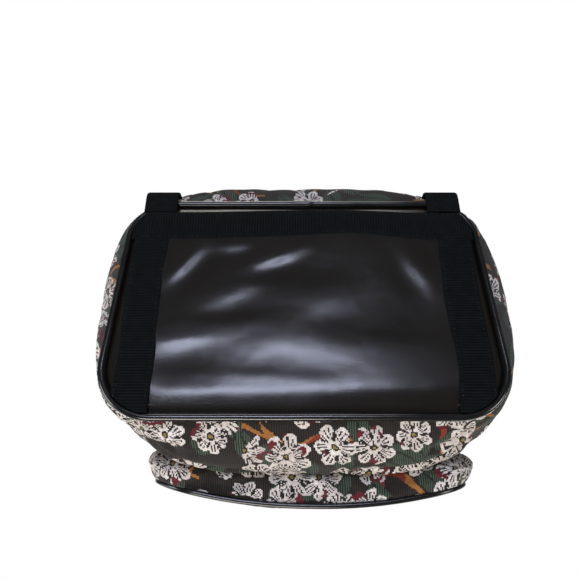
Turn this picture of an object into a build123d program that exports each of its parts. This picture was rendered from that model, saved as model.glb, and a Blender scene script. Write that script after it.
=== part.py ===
"""A soft day pack with a piped leather base, standing upright on the webbing under it.

Millimetres. X runs across the bag, the front pocket faces -Y, the shoulder straps are on +Y and
Z is up. The origin lies on the ground under the middle of the base panel.
"""

import math
import os

from build123d import *

# Base panel, its stiffener board and its piping
base_front_width = 282.0
base_back_width = 266.0
base_depth = 178.0
base_front_corner = 38.0
base_back_corner = 35.0
leather_thickness = 1.8
board_thickness = 2.4
board_margin = 8.0
piping_diameter = 5.5

# Webbing: the strips sewn under the base and the lower shoulder straps
webbing_width = 26.0
webbing_thickness = 1.6
strip_spacing = 232.0
strip_edge_margin = 3.2
cross_strip_setback = 10.5

# Body of woven cloth: its height, its cloth and the stuffed form it takes. Each station gives the
# height, the half width, the reach to the front and to the back, as shares of the body height, the
# half base width and the half base depth, and how square its outline is.
body_height = 392.0
cloth_thickness = 2.4
seam_clearance = 0.3
body_station_shares = [
    (0.00, 0.985, 0.975, 0.975, 6.5),
    (0.03, 1.052, 1.140, 1.240, 4.1),
    (0.11, 1.088, 1.265, 1.310, 2.9),
    (0.32, 1.099, 1.060, 1.240, 2.8),
    (0.60, 1.058, 0.777, 1.100, 2.9),
    (0.83, 0.985, 0.696, 0.880, 3.0),
    (0.95, 0.914, 0.534, 0.640, 3.6),
    (1.00, 0.860, 0.300, 0.360, 4.5),
]
outline_points = 16
angle_places = 9

# Zips: tape, chain, slider and pull
main_zip_length = 228.0
pocket_zip_length = 116.0
zip_opening = 12.0
tape_thickness = 1.0
chain_width = 5.2
chain_height = 1.8
chain_neck_width = 2.6
chain_neck_height = 1.4
slider_length = 11.0
slider_wall = 1.4
slider_roof = 1.2
slider_lip = 0.7
slider_clearance = 0.3
ear_thickness = 1.2
ear_length = 4.0
pin_diameter = 1.8
pin_height = 2.0
pull_length = 30.0
pull_width = 8.0
pull_thickness = 1.6
pull_eye_diameter = 3.2
pull_neck_length = 4.6
pull_bore_clearance = 0.12
stop_length = 3.0

# Front pocket
pocket_width = 220.0
pocket_bottom = 50.0
pocket_height = 168.0
pocket_bottom_corner = 32.0
pocket_top_corner = 18.0
pocket_reach = 136.0
pocket_bow_radius = 360.0
pocket_lean = 13.5
pocket_piping_width = 4.0
pocket_piping_proud = 1.5
pocket_zip_setback = 14.0

# Shoulder straps, their adjusters and the yoke that holds their upper ends
pad_width = 58.0
pad_thickness = 11.0
pad_lower_height = 146.0
pad_upper_height = 366.0
pad_upper_spacing = 108.0
pad_upper_reach = 62.0
pad_middle_reach = 172.0
pad_bow_height_share = 0.46
pad_end_width = 38.0
pad_taper_length = 55.0
pad_lead_in = 4.0
adjuster_width = 36.0
adjuster_height = 28.0
adjuster_thickness = 4.0
adjuster_bar = 3.6
adjuster_corner = 3.0
adjuster_centre_height = 118.0
adjuster_reach = 122.0
adjuster_upper_bar_share = 0.36
strap_clearance = 0.3
strap_turn_radius = 10.0
strap_foot_reach = 104.0
loop_turn_radius = 1.6
tail_length = 62.0
tail_splay = 5.0
yoke_width = 204.0
yoke_height = 34.0
yoke_top = 370.0
yoke_thickness = 2.0

# Grab handle
handle_span = 92.0
handle_rise = 40.0
handle_thickness = 3.2
handle_turn_radius = 16.0
handle_setback = 45.0

overrun = 20.0

# Places that follow from the sizes
half_width = base_front_width / 2
half_depth = base_depth / 2
base_top = webbing_thickness + leather_thickness
crown_height = base_top + body_height
welt_middle = webbing_thickness + seam_clearance + piping_diameter / 2
welt_top = welt_middle + piping_diameter / 2 - seam_clearance
strip_reach = strip_spacing / 2
gusset_seam = main_zip_length / 2
cross_back_edge = half_depth - cross_strip_setback
cross_front_edge = cross_back_edge - webbing_width
main_zip_setting = half_depth * (body_station_shares[-1][3] - body_station_shares[-1][2]) / 2
pocket_top = pocket_bottom + pocket_height
pocket_top_reach = pocket_reach - pocket_height * math.tan(math.radians(pocket_lean))
pocket_bow_middle = pocket_bow_radius / math.cos(math.radians(pocket_lean)) - pocket_reach
span = 2 * (body_height + base_front_width)

os.makedirs("parts", exist_ok=True)


def keep(piece, name):
    """Labels a finished piece and writes it under its own name."""
    piece.part.label = name
    export_step(piece.part, f"parts/{name}.step")


def base_outline(inset):
    """Rounded trapezoid of the base, drawn in from its edge, on the ground plane."""
    front = base_front_width / 2
    back = base_back_width / 2
    corners = [(-front, -half_depth), (front, -half_depth), (back, half_depth), (-back, half_depth)]
    with BuildSketch() as outline:
        with BuildLine():
            Polyline(*corners, close=True)
        make_face()
        fillet(outline.vertices().group_by(Axis.Y)[0], radius=base_front_corner)
        fillet(outline.vertices().group_by(Axis.Y)[-1], radius=base_back_corner)
        if inset:
            offset(amount=-inset)
    return outline.sketch


def section_outline(station, inset):
    """Points around the body at one station, from the middle of the back: an oblong, squarer for
    a larger power."""
    _, width_share, front_share, back_share, power = station
    reach_x = half_width * width_share - inset
    front = half_depth * front_share
    back = half_depth * back_share
    reach_y = (front + back) / 2 - inset
    middle = (back - front) / 2
    points = []
    for step in range(outline_points):
        angle = 2 * math.pi * step / outline_points
        cosine = round(math.cos(angle), angle_places)
        sine = round(math.sin(angle), angle_places)
        along = math.copysign(abs(cosine) ** (2 / power), cosine)
        across = math.copysign(abs(sine) ** (2 / power), sine)
        points.append((-reach_x * across, middle + reach_y * along))
    return points


def body_form(inset):
    """The stuffed body as one closed form, drawn in from its outer face."""
    with BuildPart() as form:
        for station in body_station_shares:
            height = base_top + (body_height - inset) * station[0]
            with BuildSketch(Plane.XY.offset(height)):
                with BuildLine():
                    Spline(*section_outline(station, inset), periodic=True)
                make_face()
        loft()
    return form.part


body_outside = body_form(0)
body_room = body_form(-seam_clearance)

# Base: leather panel, stiffener board and piping round the edge
with BuildPart() as base_panel:
    with BuildSketch(Plane.XY.offset(webbing_thickness)):
        add(base_outline(piping_diameter / 2))
    extrude(amount=leather_thickness)
keep(base_panel, "base_panel")

with BuildPart() as base_board:
    with BuildSketch(Plane.XY.offset(base_top)):
        add(base_outline(board_margin))
    extrude(amount=board_thickness)
keep(base_board, "base_board")


def welt(diameter):
    """A cord round the edge of the base, just above the webbing that crosses it."""
    edge = base_outline(0).face().outer_wire().moved(Location((0, 0, welt_middle)))
    with BuildPart() as cord:
        with BuildSketch(Plane(origin=edge @ 0, z_dir=edge % 0)):
            Circle(diameter / 2)
        sweep(path=edge)
    return cord.part


with BuildPart() as base_piping:
    add(welt(piping_diameter))
keep(base_piping, "base_piping")

# Webbing strips sewn under the base: one across near the back, two running to the front
with BuildPart() as cross_webbing:
    with BuildSketch():
        add(base_outline(strip_edge_margin))
        with Locations((0, (cross_back_edge + cross_front_edge) / 2)):
            Rectangle(base_front_width, webbing_width, mode=Mode.INTERSECT)
    extrude(amount=webbing_thickness)
keep(cross_webbing, "base_cross_webbing")

for side_name, side in (("left", -1), ("right", 1)):
    with BuildPart() as strip:
        with BuildSketch():
            add(base_outline(strip_edge_margin))
            with Locations((side * strip_reach, cross_front_edge)):
                Rectangle(
                    webbing_width,
                    base_depth,
                    align=(Align.CENTER, Align.MAX),
                    mode=Mode.INTERSECT,
                )
        extrude(amount=webbing_thickness)
    keep(strip, f"base_strip_{side_name}")

# Body cloth: front and back panels meet along the zip, side gussets close the ends
with BuildPart() as cloth_shell:
    add(body_outside)
    add(body_form(cloth_thickness), mode=Mode.SUBTRACT)
    split(bisect_by=Plane.XY.offset(welt_top), keep=Keep.TOP)
    add(welt(piping_diameter + 2 * seam_clearance), mode=Mode.SUBTRACT)
    with Locations((0, main_zip_setting, crown_height)):
        Box(main_zip_length, zip_opening, 2 * overrun, mode=Mode.SUBTRACT)

for panel_name, panel_align in (("front_panel", Align.MAX), ("back_panel", Align.MIN)):
    with BuildPart() as panel:
        add(cloth_shell.part)
        with Locations((0, main_zip_setting, 0)):
            Box(
                2 * gusset_seam,
                span,
                span,
                align=(Align.CENTER, panel_align, Align.CENTER),
                mode=Mode.INTERSECT,
            )
    keep(panel, panel_name)

for side_name, side_align, side in (("left", Align.MAX, -1), ("right", Align.MIN, 1)):
    with BuildPart() as gusset:
        add(cloth_shell.part)
        with Locations((side * gusset_seam, 0, 0)):
            Box(span, span, span, align=(side_align, Align.CENTER, Align.CENTER), mode=Mode.INTERSECT)
    keep(gusset, f"side_gusset_{side_name}")


def pocket_outline(inset):
    """Front view of the pocket, drawn in from its edge, on the plane through the bag's middle."""
    edge = pocket_width / 2
    corners = [(-edge, pocket_bottom), (edge, pocket_bottom), (edge, pocket_top), (-edge, pocket_top)]
    with BuildSketch(Plane.XZ) as outline:
        with BuildLine():
            Polyline(*corners, close=True)
        make_face()
        fillet(outline.vertices().group_by(Axis.Y)[0], radius=pocket_bottom_corner)
        fillet(outline.vertices().group_by(Axis.Y)[-1], radius=pocket_top_corner)
        if inset:
            offset(amount=-inset)
    return outline.sketch


def bowed_block(outline_inset, recess):
    """Everything behind the bowed pocket front, which leans back, drawn in from its edge and face."""
    with BuildPart() as block:
        with BuildSketch(Plane.XZ):
            add(pocket_outline(outline_inset))
        extrude(amount=pocket_reach + overrun)
        with Locations(Location((0, pocket_bow_middle, pocket_bottom), (-pocket_lean, 0, 0))):
            Cylinder(pocket_bow_radius - recess, span, mode=Mode.INTERSECT)
    return block.part


# Front pocket: bowed face, piping round it, a gusset and a top strip with its own zip
piping_inner = pocket_piping_width - pocket_piping_proud
with BuildPart() as pocket_face:
    add(bowed_block(piping_inner, 0))
    add(bowed_block(piping_inner - cloth_thickness, cloth_thickness), mode=Mode.SUBTRACT)
keep(pocket_face, "pocket_face")

with BuildPart() as pocket_piping:
    add(bowed_block(-pocket_piping_proud, -pocket_piping_proud))
    add(bowed_block(piping_inner, -2 * pocket_piping_proud), mode=Mode.SUBTRACT)
    add(bowed_block(-2 * pocket_piping_proud, piping_inner), mode=Mode.SUBTRACT)
keep(pocket_piping, "pocket_piping")

with BuildPart() as pocket_wall:
    add(bowed_block(0, piping_inner))
    add(bowed_block(cloth_thickness, 0), mode=Mode.SUBTRACT)
    add(body_room, mode=Mode.SUBTRACT)

pocket_zip_place = -(pocket_top_reach - pocket_zip_setback)
pocket_strip_foot = pocket_top - pocket_top_corner
with BuildPart() as pocket_gusset:
    add(pocket_wall.part)
    split(bisect_by=Plane.XY.offset(pocket_strip_foot), keep=Keep.BOTTOM)
keep(pocket_gusset, "pocket_gusset")

with BuildPart() as pocket_top_strip:
    add(pocket_wall.part)
    split(bisect_by=Plane.XY.offset(pocket_strip_foot), keep=Keep.TOP)
    with Locations((0, pocket_zip_place, pocket_top)):
        Box(pocket_zip_length, zip_opening, 2 * overrun, mode=Mode.SUBTRACT)
keep(pocket_top_strip, "pocket_top_strip")


def make_zip(prefix, length, setting, top):
    """A closed zip along X whose tapes end flush with the cloth, with its slider at the right."""
    for tape_name, tape_align in (("front", Align.MAX), ("back", Align.MIN)):
        with BuildPart() as tape:
            with Locations((0, setting, top)):
                Box(length, zip_opening / 2, tape_thickness, align=(Align.CENTER, tape_align, Align.MAX))
        keep(tape, f"{prefix}_zip_tape_{tape_name}")

    chain_length = length - 2 * stop_length
    head_foot = top + chain_neck_height
    head_top = head_foot + chain_height
    with BuildPart() as chain:
        with Locations((0, setting, top)):
            Box(
                chain_length,
                chain_neck_width,
                chain_neck_height,
                align=(Align.CENTER, Align.CENTER, Align.MIN),
            )
        with Locations((0, setting, head_foot)):
            Box(chain_length, chain_width, chain_height, align=(Align.CENTER, Align.CENTER, Align.MIN))
        head_edges = chain.edges().filter_by(Axis.X).group_by(Axis.Z)[-1]
        fillet(head_edges, radius=chain_height / 3)
    keep(chain, f"{prefix}_zip_chain")

    with BuildPart() as stops:
        with Locations(
            (-(chain_length + stop_length) / 2, setting, top),
            ((chain_length + stop_length) / 2, setting, top),
        ):
            Box(stop_length, chain_width, head_top - top, align=(Align.CENTER, Align.CENTER, Align.MIN))
    keep(stops, f"{prefix}_zip_stops")

    slider_place = chain_length / 2 - slider_length / 2 - slider_clearance
    inner_half = chain_width / 2 + slider_clearance
    outer_half = inner_half + slider_wall
    throat_half = chain_neck_width / 2 + slider_clearance
    lip_foot = head_foot - slider_clearance - slider_lip
    cavity_top = head_top + slider_clearance
    roof_top = cavity_top + slider_roof
    pin_level = roof_top + pin_height
    ear_half = pull_eye_diameter / 2 + ear_thickness + slider_clearance
    with BuildPart() as slider:
        with BuildSketch(Plane(origin=(slider_place, setting, 0), x_dir=(0, 1, 0), z_dir=(1, 0, 0))):
            with Locations((0, lip_foot)):
                Rectangle(2 * outer_half, roof_top - lip_foot, align=(Align.CENTER, Align.MIN))
            with Locations((0, head_foot - slider_clearance)):
                Rectangle(
                    2 * inner_half,
                    cavity_top - head_foot + slider_clearance,
                    align=(Align.CENTER, Align.MIN),
                    mode=Mode.SUBTRACT,
                )
            with Locations((0, lip_foot)):
                Rectangle(2 * throat_half, 2 * slider_lip, mode=Mode.SUBTRACT)
        extrude(amount=slider_length / 2, both=True)
        for corner_group in (0, -1):
            corner_edges = slider.edges().filter_by(Axis.Z).group_by(Axis.Y)[corner_group]
            fillet(corner_edges, radius=slider_wall / 2)
        for ear_side in (-1, 1):
            ear_middle = setting + ear_side * (ear_half - ear_thickness / 2)
            with BuildSketch(Plane(origin=(slider_place, ear_middle, 0), x_dir=(1, 0, 0), z_dir=(0, -1, 0))):
                with Locations((0, roof_top)):
                    Rectangle(ear_length, pin_height, align=(Align.CENTER, Align.MIN))
                with Locations((0, pin_level)):
                    Circle(ear_length / 2)
            extrude(amount=ear_thickness / 2, both=True)
        with BuildSketch(Plane(origin=(slider_place, setting, pin_level), x_dir=(1, 0, 0), z_dir=(0, -1, 0))):
            Circle(pin_diameter / 2)
        extrude(amount=ear_half, both=True)
    keep(slider, f"{prefix}_zip_slider")

    eye_half = pull_eye_diameter / 2
    with BuildPart() as pull:
        with BuildSketch(Plane(origin=(slider_place, setting, pin_level), x_dir=(1, 0, 0), z_dir=(0, -1, 0))):
            Circle(pull_eye_diameter / 2)
            Rectangle(pull_neck_length, pull_thickness, align=(Align.MAX, Align.CENTER))
        extrude(amount=eye_half, both=True)
        with BuildSketch(Plane.XY.offset(pin_level)):
            with Locations((slider_place - pull_neck_length, setting)):
                Rectangle(
                    pull_length - pull_neck_length, pull_width, align=(Align.MAX, Align.CENTER)
                )
        extrude(amount=pull_thickness / 2, both=True)
        tab_corners = pull.edges().filter_by(Axis.Z).group_by(Axis.X)[0]
        fillet(tab_corners, radius=pull_width / 3)
        with BuildSketch(Plane(origin=(slider_place, setting, pin_level), x_dir=(1, 0, 0), z_dir=(0, -1, 0))):
            Circle(pin_diameter / 2 + pull_bore_clearance)
        extrude(amount=pull_width, both=True, mode=Mode.SUBTRACT)
    keep(pull, f"{prefix}_zip_pull")
    print(prefix, "zip pull pin at", slider_place, setting, pin_level)


make_zip("main", main_zip_length, main_zip_setting, crown_height)
make_zip("pocket", pocket_zip_length, pocket_zip_place, pocket_top)

# Shoulder straps: pad, adjuster, the loop that holds it and the webbing threaded through it
pad_lean = Vector(pad_upper_spacing / 2 - strip_reach, 0, pad_upper_height - pad_lower_height)
pad_run = pad_lean.length
upper_bar_middle = adjuster_height * adjuster_upper_bar_share
slot_half = webbing_width / 2 + strap_clearance
thread_offset = adjuster_thickness / 2 + strap_clearance + webbing_thickness / 2
bar_top = adjuster_bar / 2

pads = []
for side_name, side in (("left", -1), ("right", 1)):
    strap_plane = Plane(origin=(side * strip_reach, 0, 0), x_dir=(0, 1, 0), z_dir=(1, 0, 0))

    # The pad leans inwards towards the yoke and bows away from the back
    lean = Vector(side * pad_lean.X, 0, pad_lean.Z).normalized()
    pad_plane = Plane(
        origin=(side * strip_reach, 0, pad_lower_height),
        x_dir=(0, 1, 0),
        z_dir=(lean.Z, 0, -lean.X),
    )
    pad_face_plane = Plane(origin=pad_plane.origin, x_dir=pad_plane.z_dir, z_dir=(0, -1, 0))
    with BuildPart() as pad:
        with BuildSketch(pad_plane):
            with BuildLine():
                Spline(
                    (adjuster_reach - pad_lead_in, -overrun),
                    (adjuster_reach, 0),
                    (pad_middle_reach, pad_run * pad_bow_height_share),
                    (pad_upper_reach, pad_run),
                )
            trace(line_width=pad_thickness)
        extrude(amount=pad_width / 2, both=True)
        with BuildSketch(pad_face_plane):
            with BuildLine():
                Polyline(
                    (-pad_end_width / 2, -overrun),
                    (pad_end_width / 2, -overrun),
                    (pad_end_width / 2, 0),
                    (pad_width / 2, pad_taper_length),
                    (pad_width / 2, pad_run + span),
                    (-pad_width / 2, pad_run + span),
                    (-pad_width / 2, pad_taper_length),
                    (-pad_end_width / 2, 0),
                    close=True,
                )
            make_face()
        extrude(amount=span, both=True, mode=Mode.INTERSECT)
        split(bisect_by=Plane.XY.offset(pad_lower_height), keep=Keep.TOP)
        add(body_room, mode=Mode.SUBTRACT)
    keep(pad, f"shoulder_pad_{side_name}")
    pads.append(pad.part)

    with BuildPart() as adjuster:
        with BuildSketch(Plane.XZ.offset(-adjuster_reach)):
            with Locations((side * strip_reach, adjuster_centre_height)):
                RectangleRounded(adjuster_width, adjuster_height, adjuster_corner)
                for lower, upper in (
                    (bar_top, upper_bar_middle - adjuster_bar / 2),
                    (-upper_bar_middle + adjuster_bar / 2, -bar_top),
                ):
                    with Locations((0, (lower + upper) / 2)):
                        Rectangle(2 * slot_half, upper - lower, mode=Mode.SUBTRACT)
        extrude(amount=adjuster_thickness / 2, both=True)
    keep(adjuster, f"strap_adjuster_{side_name}")

    # A short loop under the adjuster's upper bar, its two ends sewn into the pad
    loop_foot = adjuster_centre_height + upper_bar_middle - adjuster_bar / 2 - strap_clearance
    with BuildPart() as loop:
        with BuildSketch(strap_plane):
            with BuildLine():
                FilletPolyline(
                    (adjuster_reach - thread_offset, pad_lower_height),
                    (adjuster_reach - thread_offset, loop_foot - webbing_thickness / 2),
                    (adjuster_reach + thread_offset, loop_foot - webbing_thickness / 2),
                    (adjuster_reach + thread_offset, pad_lower_height),
                    radius=loop_turn_radius,
                )
            trace(line_width=webbing_thickness)
        extrude(amount=webbing_width / 2, both=True)
    keep(loop, f"adjuster_loop_{side_name}")

    # The webbing runs from the base up behind the adjuster, over its middle bar and hangs free
    thread_top = adjuster_centre_height + bar_top + strap_clearance + webbing_thickness / 2
    with BuildPart() as webbing:
        with BuildSketch(strap_plane):
            with BuildLine():
                FilletPolyline(
                    (cross_back_edge, webbing_thickness / 2),
                    (strap_foot_reach, webbing_thickness / 2),
                    (adjuster_reach - thread_offset, adjuster_centre_height - adjuster_height / 2),
                    (adjuster_reach - thread_offset, thread_top),
                    (adjuster_reach + thread_offset, thread_top),
                    (adjuster_reach + thread_offset, adjuster_centre_height - adjuster_height / 2),
                    (adjuster_reach + thread_offset + tail_splay, thread_top - tail_length),
                    radius=[
                        strap_turn_radius,
                        strap_turn_radius,
                        loop_turn_radius,
                        loop_turn_radius,
                        strap_turn_radius,
                    ],
                )
            trace(line_width=webbing_thickness)
        extrude(amount=webbing_width / 2, both=True)
    keep(webbing, f"strap_webbing_{side_name}")

# Yoke: a leather patch over the upper back, cut round the pads
with BuildPart() as yoke:
    add(body_form(-yoke_thickness - seam_clearance))
    add(body_room, mode=Mode.SUBTRACT)
    with Locations((0, 0, yoke_top)):
        Box(
            yoke_width,
            span,
            yoke_height,
            align=(Align.CENTER, Align.MIN, Align.MAX),
            mode=Mode.INTERSECT,
        )
    for pad in pads:
        add(pad, mode=Mode.SUBTRACT)
keep(yoke, "strap_yoke")

# Grab handle: a doubled strap arching over the back of the crown
with BuildPart() as handle:
    with BuildSketch(Plane.XZ.offset(-handle_setback)):
        with BuildLine():
            FilletPolyline(
                (-handle_span / 2, crown_height - overrun),
                (-handle_span / 2, crown_height + handle_rise),
                (handle_span / 2, crown_height + handle_rise),
                (handle_span / 2, crown_height - overrun),
                radius=handle_turn_radius,
            )
        trace(line_width=handle_thickness)
    extrude(amount=webbing_width / 2, both=True)
    add(body_room, mode=Mode.SUBTRACT)
keep(handle, "grab_handle")
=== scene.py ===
# %% [markdown]
# # A backpack of flowered cloth on a piped leather base
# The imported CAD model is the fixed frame: it says where every piece is. This lesson dresses it with
# soft pieces: a leather base, round piping, ribbed webbing, stuffed cloth panels, a puffed pocket,
# padded shoulder straps and two zips. All of it is in metres, in the frame of the CAD model, and the
# tables below are in millimetres, as a bag maker would write them.

# %% Load the frame
import math

import bpy
import numpy as np
from mathutils import Matrix, Vector, noise


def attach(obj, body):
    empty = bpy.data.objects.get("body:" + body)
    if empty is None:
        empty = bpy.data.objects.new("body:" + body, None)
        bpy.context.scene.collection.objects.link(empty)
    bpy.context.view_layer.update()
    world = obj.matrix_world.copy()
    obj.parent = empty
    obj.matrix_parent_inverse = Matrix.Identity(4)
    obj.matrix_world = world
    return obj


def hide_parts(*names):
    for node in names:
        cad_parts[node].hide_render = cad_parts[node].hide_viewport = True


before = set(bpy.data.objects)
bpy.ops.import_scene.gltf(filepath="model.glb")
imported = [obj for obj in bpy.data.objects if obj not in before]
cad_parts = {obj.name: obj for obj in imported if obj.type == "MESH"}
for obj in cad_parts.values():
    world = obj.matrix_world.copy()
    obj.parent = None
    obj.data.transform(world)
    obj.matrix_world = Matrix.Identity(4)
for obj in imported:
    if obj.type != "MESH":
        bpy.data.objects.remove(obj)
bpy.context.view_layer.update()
mm = 0.001

# %% [markdown]
# ## Hand tools
# Almost every piece of a bag starts flat, as cloth or webbing does. So most pieces here start as a
# grid primitive whose rows are laid over the shape, and the grid keeps the flat cloth's own measures
# as its UV map. A weave drawn on that map then follows the cloth round every bend.


# %% Pick, refine, edit and place
def pick(piece):
    """Makes one object the only selected one and the active one."""
    bpy.ops.object.select_all(action="DESELECT")
    piece.select_set(True)
    bpy.context.view_layer.objects.active = piece


def refine(piece, kind, **settings):
    """Adds a modifier with these settings and applies it at once."""
    pick(piece)
    modifier = piece.modifiers.new("refine", kind)
    for name, value in settings.items():
        setattr(modifier, name, value)
    bpy.ops.object.modifier_apply(modifier=modifier.name)


def edit(piece, *steps):
    """Runs edit-mode steps on the whole of a piece: (operator, settings) pairs."""
    pick(piece)
    bpy.ops.object.mode_set(mode="EDIT")
    bpy.ops.mesh.select_all(action="SELECT")
    for operator, settings in steps:
        operator(**settings)
    bpy.ops.object.mode_set(mode="OBJECT")


def places_of(piece):
    """Where the vertices of a piece are, in millimetres."""
    found = np.zeros(len(piece.data.vertices) * 3, np.float32)
    piece.data.vertices.foreach_get("co", found)
    return found.reshape(-1, 3).astype(float) / mm


def place(piece, points):
    """Moves the vertices of a piece to these points, in millimetres."""
    piece.data.vertices.foreach_set("co", (np.asarray(points) * mm).astype(np.float32).ravel())
    piece.data.update()


print("hand tools ready")

# %% [markdown]
# The next tools lay a grid over rows of points, write the flat measures to the UV map, and finish a
# piece: material, shading, the body that it rides on and the CAD nodes that it stands for.


# %% Lay a grid and finish a piece
def draw_on_map(piece, layer, flat):
    """Writes each vertex's place on the flat cloth, in millimetres, to a UV layer."""
    corners = np.zeros(len(piece.data.loops), np.int32)
    piece.data.loops.foreach_get("vertex_index", corners)
    layer.uv.foreach_set("vector", (flat.reshape(-1, 2)[corners] * mm).astype(np.float32).ravel())


def grid_piece(name, points, flat=None, cut_at=(0, 0)):
    """Lays a grid primitive over rows of points, and keeps the flat measures as its UV map. Cut_at is
    where on the bolt of cloth the piece was cut."""
    rows, columns = points.shape[:2]
    bpy.ops.object.select_all(action="DESELECT")
    bpy.ops.mesh.primitive_grid_add(x_subdivisions=columns - 1, y_subdivisions=rows - 1, calc_uvs=True)
    piece = bpy.context.object
    piece.name = name
    piece.data.name = name
    place(piece, points.reshape(-1, 3))
    if flat is None:
        flat = flat_measures(points)
    layer = piece.data.uv_layers[0]
    layer.name = "cloth"
    draw_on_map(piece, layer, flat + np.array(cut_at, float))
    return piece


def flat_measures(points):
    """The cloth's own measures: along each row from its middle, and up the rows."""
    along = np.linalg.norm(np.diff(points, axis=1), axis=2)
    across = np.concatenate([np.zeros((len(points), 1)), np.cumsum(along, axis=1)], axis=1)
    across -= across[:, -1:] / 2
    rise = np.linalg.norm(np.diff(points, axis=0), axis=2).mean(axis=1)
    up = np.concatenate([[0], np.cumsum(rise)])
    return np.dstack([across, np.repeat(up[:, None], points.shape[1], axis=1)])


def finish_piece(piece, material, slot, *nodes, body="bag", smooth=50):
    """Gives a piece its material, smooth shading, body and the nodes it stands for. The slot is not used.
    """
    piece.data.materials.clear()
    piece.data.materials.append(material)
    pick(piece)
    bpy.ops.object.shade_smooth_by_angle(angle=math.radians(smooth))
    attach(piece, body)
    if nodes:
        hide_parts(*nodes)
    print(piece.name, len(piece.data.polygons), "faces")
    return piece


merge_distance = 0.01 * mm
print("grid tools ready")

# %% [markdown]
# ## Node helper and colours
# Colours are written as they look on a screen, in hex, and one function turns them into the linear
# values that Cycles works with. One more small function adds a node with its settings and links.


# %% Colour and node helper
def hex_colour(code):
    """Linear RGBA from an sRGB hex code."""
    parts = [int(code[i : i + 2], 16) / 255 for i in (1, 3, 5)]
    return tuple(p / 12.92 if p <= 0.04045 else ((p + 0.055) / 1.055) ** 2.4 for p in parts) + (1.0,)


def put(tree, kind, links=None, **settings):
    """Adds a node, sets it up, and gives each input a value or a link from another node."""
    node = tree.nodes.new("ShaderNode" + kind)
    for key, value in settings.items():
        setattr(node, key, value)
    for socket, source in (links or {}).items():
        if isinstance(source, bpy.types.Node):
            source = source.outputs[0]
        if isinstance(source, bpy.types.NodeSocket):
            tree.links.new(source, node.inputs[socket])
        else:
            node.inputs[socket].default_value = source
    return node


def new_material(name):
    """An empty material with its output, as (material, tree, output)."""
    material = bpy.data.materials.new(name)
    material.use_nodes = True
    material.node_tree.nodes.clear()
    output = material.node_tree.nodes.new("ShaderNodeOutputMaterial")
    return material, material.node_tree, output


to_mm = (1000, 1000, 1000)
print("white is", hex_colour("#FFFFFF"))

# %% [markdown]
# ## Tapestry cloth
# The body is a jacquard tapestry: thick coloured weft threads make blossoms, leaves and twigs on a
# dark brown ground, and every edge in the picture goes up in steps of one thread. The steps come
# first here: the cloth's own measures are snapped to a grid of threads about a millimetre wide, and
# everything after that reads only the snapped place. Blossoms sit on the points of a Voronoi
# pattern, and the angle round each point makes the petals.

# %% Tapestry: threads and blossoms
thread_size = (1.0, 0.8, 1)
rib_width, weft_turn = 1.6, 7.854
blossom_pitch, leaf_pitch, twig_pitch = 27, 25, 58
leaf_half_length, leaf_half_width, twig_half_width = 15.0, 7.5, 1.7
centred = (0.5, 0.5, 0.5)
dark_line = hex_colour("#1B1714")
tapestry, t, tapestry_output = new_material("jacquard_tapestry")
cloth_map = put(t, "UVMap", uv_map="cloth")
cloth_place = put(t, "VectorMath", {0: cloth_map, 1: to_mm}, operation="MULTIPLY")
thread_step = put(t, "VectorMath", {0: cloth_place, 1: thread_size}, operation="SNAP")
drift = put(t, "TexNoise", {"Vector": thread_step, "Scale": 1 / 11, "Detail": 1}, noise_dimensions="2D")
drift_away = put(t, "VectorMath", {0: drift.outputs["Color"], 1: centred}, operation="SUBTRACT")
wander = put(t, "VectorMath", {0: drift_away, "Scale": 3.4}, operation="SCALE")
hand_drawn = put(t, "VectorMath", {0: thread_step, 1: wander}, operation="ADD")

blossom_cells = put(
    t,
    "TexVoronoi",
    {"Vector": hand_drawn, "Scale": 1 / blossom_pitch, "Randomness": 0.7},
    voronoi_dimensions="2D",
)
from_centre = put(
    t, "VectorMath", {0: hand_drawn, 1: blossom_cells.outputs["Position"]}, operation="SUBTRACT"
)
centre_parts = put(t, "SeparateXYZ", {0: from_centre})
reach = put(t, "VectorMath", {0: from_centre}, operation="LENGTH").outputs["Value"]
turn = put(t, "Math", {0: centre_parts.outputs["Y"], 1: centre_parts.outputs["X"]}, operation="ARCTAN2")
chance = put(t, "SeparateColor", {0: blossom_cells.outputs["Color"]})
more_petals = put(t, "Math", {0: chance.outputs["Red"], 1: 4.0, 2: 4.6}, operation="MULTIPLY_ADD")
petal_count = put(t, "Math", {0: more_petals}, operation="ROUND")
half_turns = put(t, "Math", {0: turn, 1: petal_count}, operation="MULTIPLY")
half_turn = put(t, "Math", {0: half_turns, 1: 0.5}, operation="MULTIPLY")
petal_wave = put(t, "Math", {0: put(t, "Math", {0: half_turn}, operation="COSINE")}, operation="ABSOLUTE")
petal_round = put(t, "Math", {0: petal_wave, 1: 0.45}, operation="POWER")
petal_share = put(t, "Math", {0: petal_round, 1: 0.42, 2: 0.58}, operation="MULTIPLY_ADD")
blossom_size = put(t, "Math", {0: chance.outputs["Green"], 1: 5.0, 2: 12.5}, operation="MULTIPLY_ADD")
petal_edge = put(t, "Math", {0: petal_share, 1: blossom_size}, operation="MULTIPLY")
petal_place = put(t, "Math", {0: reach, 1: petal_edge}, operation="DIVIDE")
clusters = put(t, "TexNoise", {"Vector": thread_step, "Scale": 1 / 75, "Detail": 0}, noise_dimensions="2D")
cluster_chance = put(
    t, "Math", {0: chance.outputs["Blue"], 1: 0.34, 2: clusters.outputs[0]}, operation="MULTIPLY_ADD"
)
grows = put(t, "Math", {0: cluster_chance, 1: 0.585}, operation="GREATER_THAN")
in_petals = put(t, "Math", {0: petal_place, 1: 1.0}, operation="LESS_THAN")
blossom_mask = put(t, "Math", {0: in_petals, 1: grows}, operation="MULTIPLY")
print("tapestry nodes for the blossoms:", len(t.nodes))

# %% [markdown]
# Each petal is white with dark dashes that fan out from the middle, a dark gap to the next petal and
# a gold heart. Some petal tips turn crimson.

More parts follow.
